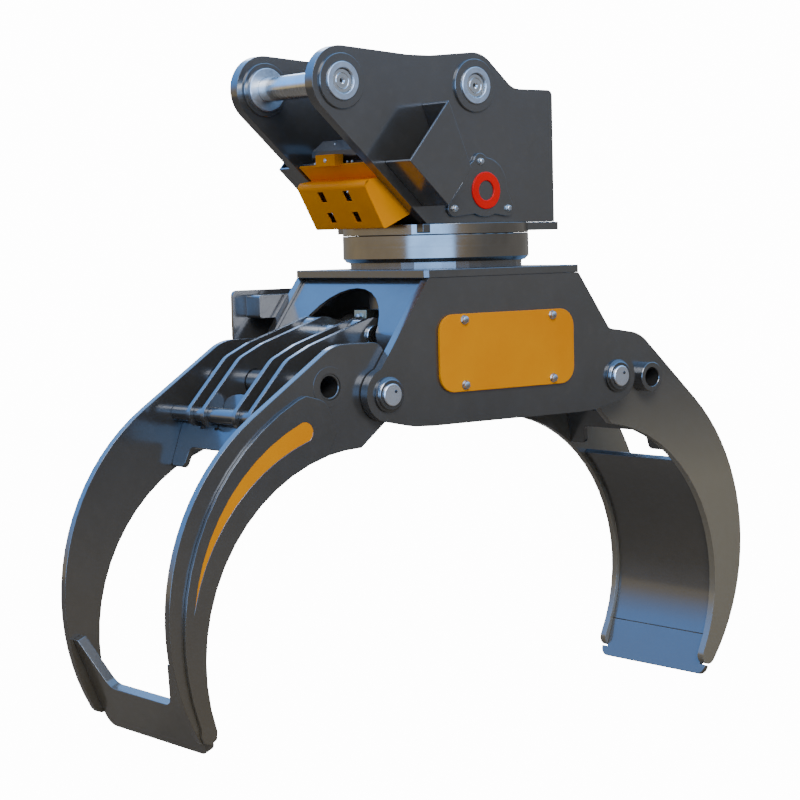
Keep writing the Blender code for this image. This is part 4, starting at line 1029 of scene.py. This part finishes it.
    def valve_fasteners(self, bench: Bench) -> None:
        """Bolt on the guard's tab and small screws on the face of the valve cover.

        Args:
            bench: Where the pieces are placed.
        """
        front = (-1.0, 0.0, 0.0)
        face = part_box("valve_guard")[0].x
        low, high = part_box("valve_cover")
        tab = Spot((face + self.tab_inset, 0.0, high.z - self.tab_drop), front)
        BoltSet("guard_tab_bolt", self.body, (tab,), TAB_BOLT).build(bench, BOLT_ZINC)
        rows = [Spot((low.x, y, high.z - self.screw_drop), front) for y in self.screw_rows]
        rows.append(Spot((low.x + self.top_screw_inset, 0.0, high.z - self.top_screw_drop), front))
        BoltSet("valve_cover_screws", self.body, tuple(rows), VALVE_SCREW).build(bench, BOLT_ZINC)

    def hose_fittings(self, bench: Bench, origin: Vector) -> None:
        """Plated hose fittings on the front plate, seen through two of the guard's windows.

        Args:
            bench: Where the pieces are placed.
            origin: Where the slew frame's origin lies.
        """
        for name, foot, height in self.fittings:
            spot = Spot(tuple(origin + Vector(foot)), self.fitting_facing)
            size = BoltSize(self.fitting_radius, height, self.fitting_radius * self.fitting_foot,
                            height * self.fitting_foot_height, self.fitting_crown)
            BoltSet(name, self.body, (spot,), size).build(bench, BOLT_ZINC)

    def build(self, bench: Bench, origin: Vector) -> None:
        """Build the bracket.

        Args:
            bench: Where the pieces are placed.
            origin: Where the slew frame's origin lies.
        """
        for node in self.plates:
            bench.dress(node, DARK_PAINT)
        self.guard(bench, origin)
        bench.dress("valve_cover", BLACK_PAINT, Edge.CAST)
        for end in ("front", "rear"):
            self.pin(bench, "arm_pin_" + end)
            for word, side in SIDES:
                self.eye(bench, end, word, side)
        self.cover_trim(bench, origin)
        self.valve_fasteners(bench)
        self.hose_fittings(bench, origin)


@dataclass
class Rotator:
    """Turned flange and housing, the toothed ring under them, the pinion and its motor."""

    facets: int = 160
    chamfer: float = 0.0015
    foot: float = 0.008
    wall: float = 0.011
    roof: float = 0.016
    bore: float = 0.030
    housing_colour: Colour = (0.27, 0.25, 0.225)
    housing_roughness: float = 0.16
    ring_colour: Colour = (0.20, 0.19, 0.18)
    pinion_colour: Colour = (0.34, 0.33, 0.31)
    motor_flange: float = 0.018
    motor_body_share: float = 0.84
    motor_cap_share: float = 0.67
    motor_cap: float = 0.012

    def build(self, bench: Bench) -> None:
        """Build the rotator.

        Args:
            bench: Where the pieces are placed.
        """
        low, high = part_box("rotator_housing")
        radius, c = (high.x - low.x) / 2.0, self.chamfer
        inside, roof = radius - self.wall, high.z - self.roof
        centre = Vector(((low.x + high.x) / 2.0, 0.0, 0.0))
        profile = [(self.bore, high.z), (radius - c, high.z), (radius, high.z - c),
                   (radius, low.z + self.foot), (radius - self.foot, low.z), (inside, low.z), (inside, roof),
                   (self.bore, roof)]
        steel = bench.turned_steel("rotator_housing", self.housing_colour, Axis.Z, Slot.MACHINED,
                                   self.housing_roughness)
        bench.stand_in("rotator_housing", turned(profile, centre, Axis.Z, 1.0, self.facets), steel)
        bench.dress("flange_disc", steel, Edge.FINE)
        for node, colour in (("slew_ring", self.ring_colour), ("slew_pinion", self.pinion_colour)):
            bench.carry(node, bench.turned_steel(node, colour, Axis.Z, Slot.MACHINED))
        self.motor(bench)

    def motor(self, bench: Bench) -> None:
        """Slew motor with its flange, body and cap.

        Args:
            bench: Where the piece is placed.
        """
        low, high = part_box("slew_motor")
        radius, c = (high.x - low.x) / 2.0, self.chamfer
        body, cap = radius * self.motor_body_share, radius * self.motor_cap_share
        shoulder, step = low.z + self.motor_flange, high.z - self.motor_cap
        profile = [(0.0, high.z), (cap - c, high.z), (cap, high.z - c), (cap, step), (body - c, step),
                   (body, step - c), (body, shoulder), (radius - c, shoulder), (radius, shoulder - c),
                   (radius, low.z), (0.0, low.z)]
        centre = bench.middle("slew_motor")
        centre.z = 0.0
        bench.stand_in("slew_motor", turned(profile, centre, Axis.Z), BLACK_PAINT)


@dataclass
class LowerFrame:
    """Box frame with its pivot pins and collars, the orange panel, hose guard, clamp and elbow."""

    body: str = "lower_frame"
    plates: tuple[str, ...] = ("top_plate", "side_plate_near", "side_plate_far", "end_plate_left",
                               "end_plate_right", "far_guard", "clamp_strap")
    facets: int = 80
    panel_bolt_half: float = 0.119
    panel_bolt_rows: Point = (0.0071, 0.1373)
    clamp_bolt_drop: float = 0.014
    chamfer: float = 0.0015
    pin_colour: Colour = (0.86, 0.86, 0.86)
    pin_roughness: float = 0.34
    pin_hole_offset: float = 0.0065
    collar_colour: Colour = (0.20, 0.20, 0.20)
    collar_rim: float = 0.004
    collar_slope: float = 0.001
    collar_groove: float = 0.0010
    collar_edge: Point = (0.002, 0.0015)

    def pivot_pin(self, bench: Bench, node: str) -> None:
        """Pivot pin with chamfers and a small plug in each end.

        Args:
            bench: Where the pieces are placed.
            node: The pin's CAD node.
        """
        radius, half = round_size(node)
        centre, shift = bench.middle(node), self.pin_hole_offset
        steel = bench.turned_steel(node, self.pin_colour, Axis.Y, Slot.BRIGHT, self.pin_roughness)
        profile = bar_profile(radius, half, self.chamfer)
        bench.stand_in(node, turned(profile, centre, Axis.Y, 1.0, self.facets), steel)
        spots = tuple(Spot((centre.x + shift, side * half, centre.z + shift), (0.0, side, 0.0))
                      for _, side in SIDES)
        BoltSet(node + "_plugs", self.body, spots, PIN_PLUG).build(bench, BLACK_PAINT)

    def collar(self, bench: Bench, node: str, pin: str, side: float) -> None:
        """Grooved collar on a pivot pin.

        Args:
            bench: Where the piece is placed.
            node: The collar's CAD node.
            pin: The pin's CAD node.
            side: -1 at the near end and 1 at the far one.
        """
        low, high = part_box(node)
        outer = (high.z - low.z) / 2.0
        seat, top = sorted((abs(low.y), abs(high.y)))
        bore = round_size(pin)[0] + PIN_PLAY
        rim, groove, (edge_in, edge_down) = self.collar_rim, self.collar_groove, self.collar_edge
        waist, middle = outer - rim, (seat + top) / 2.0
        profile = [(bore, seat), (outer, seat), (outer, seat + rim), (waist, seat + rim + self.collar_slope),
                   (waist, middle), (waist - groove, middle + groove), (waist, middle + 2.0 * groove),
                   (waist, top - edge_down), (waist - edge_in, top), (bore, top)]
        centre = bench.middle(pin)
        centre.y = 0.0
        steel = bench.turned_steel(node, self.collar_colour, Axis.Y, Slot.MACHINED)
        bench.stand_in(node, turned(profile, centre, Axis.Y, side, self.facets), steel)

    def build(self, bench: Bench, origin: Vector) -> None:
        """Build the frame.

        Args:
            bench: Where the pieces are placed.
            origin: Where the slew frame's origin lies.
        """
        for node in self.plates:
            bench.dress(node, DARK_PAINT)
        bench.dress("cover_panel", ORANGE_PAINT, Edge.COVER)
        bench.dress("hose_clamp", CLAMP_ZINC, Edge.FINE)
        bench.dress("elbow_pipe", PIPE_STEEL, Edge.AS_PACKED)
        for word in ("left", "right"):
            self.pivot_pin(bench, "pivot_pin_" + word)
            for where, side in SIDES:
                self.collar(bench, f"collar_{word}_{where}", "pivot_pin_" + word, side)
        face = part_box("cover_panel")[0].y
        spots = tuple(Spot(tuple(origin + Vector((side * self.panel_bolt_half, face, row))),
                           (0.0, -1.0, 0.0)) for _, side in SIDES for row in self.panel_bolt_rows)
        BoltSet("panel_bolts", self.body, spots, PANEL_BOLT).build(bench, BOLT_ZINC)
        low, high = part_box("hose_clamp")
        spot = Spot((low.x, 0.0, high.z - self.clamp_bolt_drop), (-1.0, 0.0, 0.0))
        BoltSet("clamp_bolt", self.body, (spot,), CLAMP_BOLT).build(bench, BOLT_ZINC)


@dataclass
class Tine:
    """One tine: dressed plates, turned tube, bar and pin, and on the left one stripes and bore rings."""

    word: str
    tube_bore: float
    fittings: tuple[str, ...]
    plate_paint: Paint = DARK_PAINT
    trimmed: bool = False
    bore_ring: float = 0.039
    bore_ring_height: float = 0.0007
    bore_ring_lean: float = 0.0004
    bore_ring_facets: int = 96
    tube_facets: int = 80
    chamfer: float = 0.0010
    pin_colour: Colour = (0.62, 0.61, 0.59)
    stripe_outer: tuple[Point, Point, Point] = ((0.196, -0.041), (0.350, -0.149), (0.449, -0.364))
    stripe_inner: tuple[Point, Point, Point] = ((0.449, -0.364), (0.330, -0.162), (0.180, -0.076))
    stripe_head: Point = (0.176, -0.048)
    stripe_steps: int = 28
    stripe_head_steps: int = 12
    stripe_recess: float = 0.002
    stripe_inset: float = 0.0004

    @property
    def body(self) -> str:
        """The body that the tine is."""
        return self.word + "_tine"

    def bar(self, bench: Bench, kind: str, finish: Finish) -> None:
        """Solid round bar or pin that lies across the tine.

        Args:
            bench: Where the piece is placed.
            kind: The end of the CAD node's name.
            finish: Its finish.
        """
        node = f"{self.word}_{kind}"
        profile = bar_profile(*round_size(node), self.chamfer)
        bench.stand_in(node, turned(profile, bench.middle(node), Axis.Y), finish)

    def tube(self, bench: Bench) -> None:
        """Open tube across the top of the tine.

        Args:
            bench: Where the piece is placed.
        """
        node = self.word + "_upper_tube"
        (radius, half), bore, c = round_size(node), self.tube_bore, self.chamfer
        profile = [(bore, -half + c), (bore + c, -half), (radius - c, -half), (radius, -half + c),
                   (radius, half - c), (radius - c, half), (bore + c, half), (bore, half - c)]
        mesh = turned(profile, bench.middle(node), Axis.Y, 1.0, self.tube_facets)
        bench.stand_in(node, mesh, DARK_PAINT)

    def bore_rings(self, bench: Bench) -> None:
        """Thin ring round the tube's mouth on each side plate.

        Args:
            bench: Where the piece is placed.
        """
        node = self.word + "_upper_tube"
        radius, wide, height = round_size(node)[0], self.bore_ring, self.bore_ring_height
        profile = [(radius, 0.0), (wide, 0.0), (wide - self.bore_ring_lean, height), (radius, height)]
        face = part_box(self.word + "_tine_plate_far")[1].y
        rings = []
        for _, side in SIDES:
            centre = bench.middle(node)
            centre.y = side * face
            rings.append(turned(profile, centre, Axis.Y, side, self.bore_ring_facets))
        bench.piece(self.word + "_bore_rings", joined(rings), DARK_PAINT, self.body)

    def stripes(self, bench: Bench) -> None:
        """Orange inlay in the recess of each doubler.

        Args:
            bench: Where the pieces are placed.
        """
        pivot = bench.middle("pivot_pin_" + self.word)
        outer = arc_through(*self.stripe_outer, self.stripe_steps)
        inner = arc_through(*self.stripe_inner, self.stripe_steps)
        head = arc_through(self.stripe_inner[2], self.stripe_head, self.stripe_outer[0],
                           self.stripe_head_steps)
        outline = [(pivot.x - u, pivot.z + v) for u, v in [*outer, *inner[1:], *head[1:-1]]]
        for where, side in SIDES:
            low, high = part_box(f"{self.word}_overlay_{where}")
            face = max(abs(low.y), abs(high.y))
            near, far = sorted((side * (face - self.stripe_recess), side * (face - self.stripe_inset)))
            bench.piece(f"{self.word}_stripe_{where}", extruded(outline, near, far), ORANGE_PAINT, self.body)

    def build(self, bench: Bench) -> None:
        """Build the tine.

        Args:
            bench: Where the pieces are placed.
        """
        for where, _ in SIDES:
            bench.dress(f"{self.word}_tine_plate_{where}", self.plate_paint)
        for kind in self.fittings:
            bench.dress(f"{self.word}_{kind}", DARK_PAINT)
        bench.dress(self.word + "_lever_frame", DARK_PAINT, Edge.RIB)
        self.tube(bench)
        if self.trimmed:
            self.bore_rings(bench)
        self.bar(bench, "lower_bar", DARK_PAINT)
        pin = self.word + "_lever_pin"
        self.bar(bench, "lever_pin", bench.turned_steel(pin, self.pin_colour, Axis.Y, Slot.BRIGHT))
        if self.trimmed:
            self.stripes(bench)


@dataclass
class Cylinders:
    """Twin cylinders: barrels with a gland ring, chromed rods, and the eyes on both ends."""

    chrome: Colour = (0.72, 0.72, 0.73)
    chrome_roughness: float = 0.14
    chrome_stretch: Place = (14.0, 1.0, 1.0)

    def build(self, bench: Bench) -> None:
        """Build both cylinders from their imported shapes.

        Args:
            bench: Where the pieces are placed.
        """
        for where, _ in SIDES:
            bench.dress("cylinder_barrel_" + where, DARK_PAINT, Edge.FINE)
            chrome = PlatedSteel("rod_chrome_" + where, Slot.BRIGHT, self.chrome,
                                 roughness=self.chrome_roughness, scratch_stretch=self.chrome_stretch)
            bench.dress("cylinder_rod_" + where, chrome, Edge.FINE)


@dataclass(frozen=True)
class Camera:
    """The photograph's viewpoint. Angles are in degrees, the lens and the sensor in millimetres."""

    azimuth: float = -38.67
    elevation: float = 4.47
    roll: float = 1.3555
    lens: float = 93.27
    sensor: float = 36.0
    clip_end: float = 100.0
    place: Place = (-2.4501, -3.3613, -0.3056)

    def build(self) -> None:
        """Place the camera and make it the scene's own."""
        turn, lift, roll = (math.radians(value) for value in (self.azimuth, self.elevation, self.roll))
        ahead = Vector((-math.sin(turn) * math.cos(lift), math.cos(turn) * math.cos(lift), -math.sin(lift)))
        level = Vector((math.cos(turn), math.sin(turn), 0.0))
        upright = level.cross(ahead)
        right = level * math.cos(roll) - upright * math.sin(roll)
        up = level * math.sin(roll) + upright * math.cos(roll)
        data = bpy.data.cameras.new("photo_camera")
        data.lens = self.lens
        data.sensor_width = self.sensor
        data.clip_end = self.clip_end
        camera = bpy.data.objects.new("photo_camera", data)
        facing = Matrix((right, up, -ahead)).transposed().to_4x4()
        camera.matrix_world = Matrix.Translation(self.place) @ facing
        bpy.context.scene.collection.objects.link(camera)
        bpy.context.scene.camera = camera


@dataclass(frozen=True)
class Lamp:
    """One soft square light that is aimed at the object's middle."""

    name: str
    place: Place
    power: float
    size: float
    colour: Colour

    def build(self) -> None:
        """Place the light."""
        data = bpy.data.lights.new(self.name, "AREA")
        data.energy = self.power
        data.size = self.size
        data.color = self.colour
        lamp = bpy.data.objects.new(self.name, data)
        aim = (CAD_BOX[0] + CAD_BOX[1]) / 2.0 - Vector(self.place)
        lamp.matrix_world = Matrix.Translation(self.place) @ aim.to_track_quat("-Z", "Y").to_matrix().to_4x4()
        bpy.context.scene.collection.objects.link(lamp)


@dataclass(frozen=True)
class SkyPart:
    """Colours of one part of the sky from straight down to straight up, and where that part lies.

    It fills the directions whose dot product with the axis is past the edge's second value, and fades
    out towards its first.
    """

    axis: Place
    edge: Point
    stops: Stops


@dataclass(frozen=True)
class Studio:
    """Pale floor, soft lights and a sky that is cool above and warm below."""

    floor_gap: float = 0.012
    floor_half: float = 7.0
    floor_colour: Colour = (0.26, 0.25, 0.24)
    floor_roughness: float = 0.9
    floor_gloss: float = 0.1
    floor_glow: float = 14.0
    backdrop: float = 14.3
    ambient: Colour = (1.0, 0.98, 0.95)
    ambient_strength: float = 0.38
    sky_strength: float = 3.3
    left_sky: Stops = ((0.0, (0.06, 0.05, 0.03)), (0.44, (0.21, 0.17, 0.10)), (0.52, (0.20, 0.17, 0.12)),
                       (0.64, (0.10, 0.31, 0.80)), (1.0, (0.14, 0.36, 0.82)))
    right_sky: SkyPart = SkyPart((1.0, 0.0, 0.0), (-0.35, 0.35), (
        (0.0, (0.05, 0.045, 0.04)), (0.44, (0.09, 0.09, 0.088)), (0.54, (0.10, 0.10, 0.10)),
        (0.68, (0.16, 0.34, 0.70)), (1.0, (0.20, 0.42, 0.80))))
    band_sky: SkyPart = SkyPart((-0.715, -0.699, 0.0), (0.86, 0.90), (
        (0.0, (0.05, 0.06, 0.08)), (0.42, (0.52, 0.98, 1.90)), (0.58, (0.52, 0.98, 1.90)),
        (0.66, (0.20, 0.42, 0.80)), (1.0, (0.20, 0.42, 0.80))))
    lamps: tuple[Lamp, ...] = (Lamp("key", (-1.7, -4.6, 3.0), 205.0, 2.6, (1.0, 0.99, 0.97)),
                               Lamp("left_fill", (-4.4, 0.6, 1.6), 12.0, 3.0, (0.96, 0.93, 0.86)),
                               Lamp("back_fill", (2.6, 3.4, 2.8), 60.0, 2.6, (0.92, 0.96, 1.0)))

    def floor(self) -> None:
        """Plain floor just under the tips. Its glow is for the camera alone and lights nothing."""
        height, half = CAD_BOX[0].z - self.floor_gap, self.floor_half
        mesh = bpy.data.meshes.new("floor")
        corners = [(-half, -half, height), (half, -half, height), (half, half, height), (-half, half, height)]
        mesh.from_pydata(corners, [], [(0, 1, 2, 3)])
        graph = ShaderGraph("floor_paint")
        seen = graph.add("ShaderNodeLightPath").outputs["Is Camera Ray"]
        graph.surface({"Base Color": (*self.floor_colour, 1.0), "Roughness": self.floor_roughness,
                       "Specular IOR Level": self.floor_gloss, "Emission Color": WHITE,
                       "Emission Strength": graph.math("MULTIPLY", seen, self.floor_glow)})
        mesh.materials.append(graph.material)
        floor = bpy.data.objects.new("floor", mesh)
        bpy.context.scene.collection.objects.link(floor)

    def ramp(self, graph: NodeGraph, height: bpy.types.NodeSocket, stops: Stops) -> bpy.types.NodeSocket:
        """Colours that follow each other from below to above.

        Args:
            graph: The world's tree.
            height: 0 straight down and 1 straight up.
            stops: The colours and their heights.

        Returns:
            The colour socket.
        """
        node = graph.add("ShaderNodeValToRGB", {0: height})
        marks = node.color_ramp.elements
        while len(marks) < len(stops):
            marks.new(0.5)
        for mark, (place, colour) in zip(marks, stops):
            mark.position = place
            mark.color = (*colour, 1.0)
        return node.outputs[0]

    def sky(self) -> None:
        """World that is white to the camera, neutral as light, and cool over warm in reflections."""
        world = bpy.data.worlds.new("studio")
        world.use_nodes = True
        bpy.context.scene.world = world
        world.node_tree.nodes.clear()
        graph = NodeGraph(world.node_tree)
        direction = graph.add("ShaderNodeTexCoord").outputs["Generated"]
        upward = graph.add("ShaderNodeSeparateXYZ", {0: direction}).outputs[2]
        height = graph.remap(upward, (-1.0, 1.0), FULL)
        tint = self.ramp(graph, height, self.left_sky)
        for part in (self.right_sky, self.band_sky):
            along = graph.vector("DOT_PRODUCT", direction, part.axis).outputs["Value"]
            share = graph.remap(along, part.edge, FULL)
            tint = graph.blend(share, tint, self.ramp(graph, height, part.stops))
        path = graph.add("ShaderNodeLightPath").outputs
        shown = graph.add("ShaderNodeBackground", {0: (*self.ambient, 1.0), 1: self.ambient_strength})
        for ray, colour, strength in (("Is Glossy Ray", tint, self.sky_strength),
                                      ("Is Camera Ray", WHITE, self.backdrop)):
            own = graph.add("ShaderNodeBackground", {0: colour, 1: strength}).outputs[0]
            shown = graph.add("ShaderNodeMixShader", {0: path[ray], 1: shown.outputs[0], 2: own})
        graph.add("ShaderNodeOutputWorld", {0: shown.outputs[0]})

    def build(self) -> None:
        """Set up the studio."""
        self.floor()
        self.sky()
        for lamp in self.lamps:
            lamp.build()


def main() -> None:
    """Build the camera, the studio and each sub-assembly in order."""
    logging.basicConfig(level=logging.INFO, format="%(name)s: %(message)s")
    Camera().build()
    Studio().build()
    bench = Bench()
    left, right = bench.middle("pivot_pin_left"), bench.middle("pivot_pin_right")
    origin = Vector(((left.x + right.x) / 2.0, 0.0, (left.z + right.z) / 2.0))
    Bracket().build(bench, origin)
    Rotator().build(bench)
    LowerFrame().build(bench, origin)
    Tine("left", 0.021, ("cross_plate", "lip", "overlay_near", "overlay_far"), trimmed=True).build(bench)
    Tine("right", 0.0205, ("cross_plate", "lip", "shell"), RIGHT_TINE_PAINT).build(bench)
    Cylinders().build(bench)


if __name__ == "__main__":
    main()
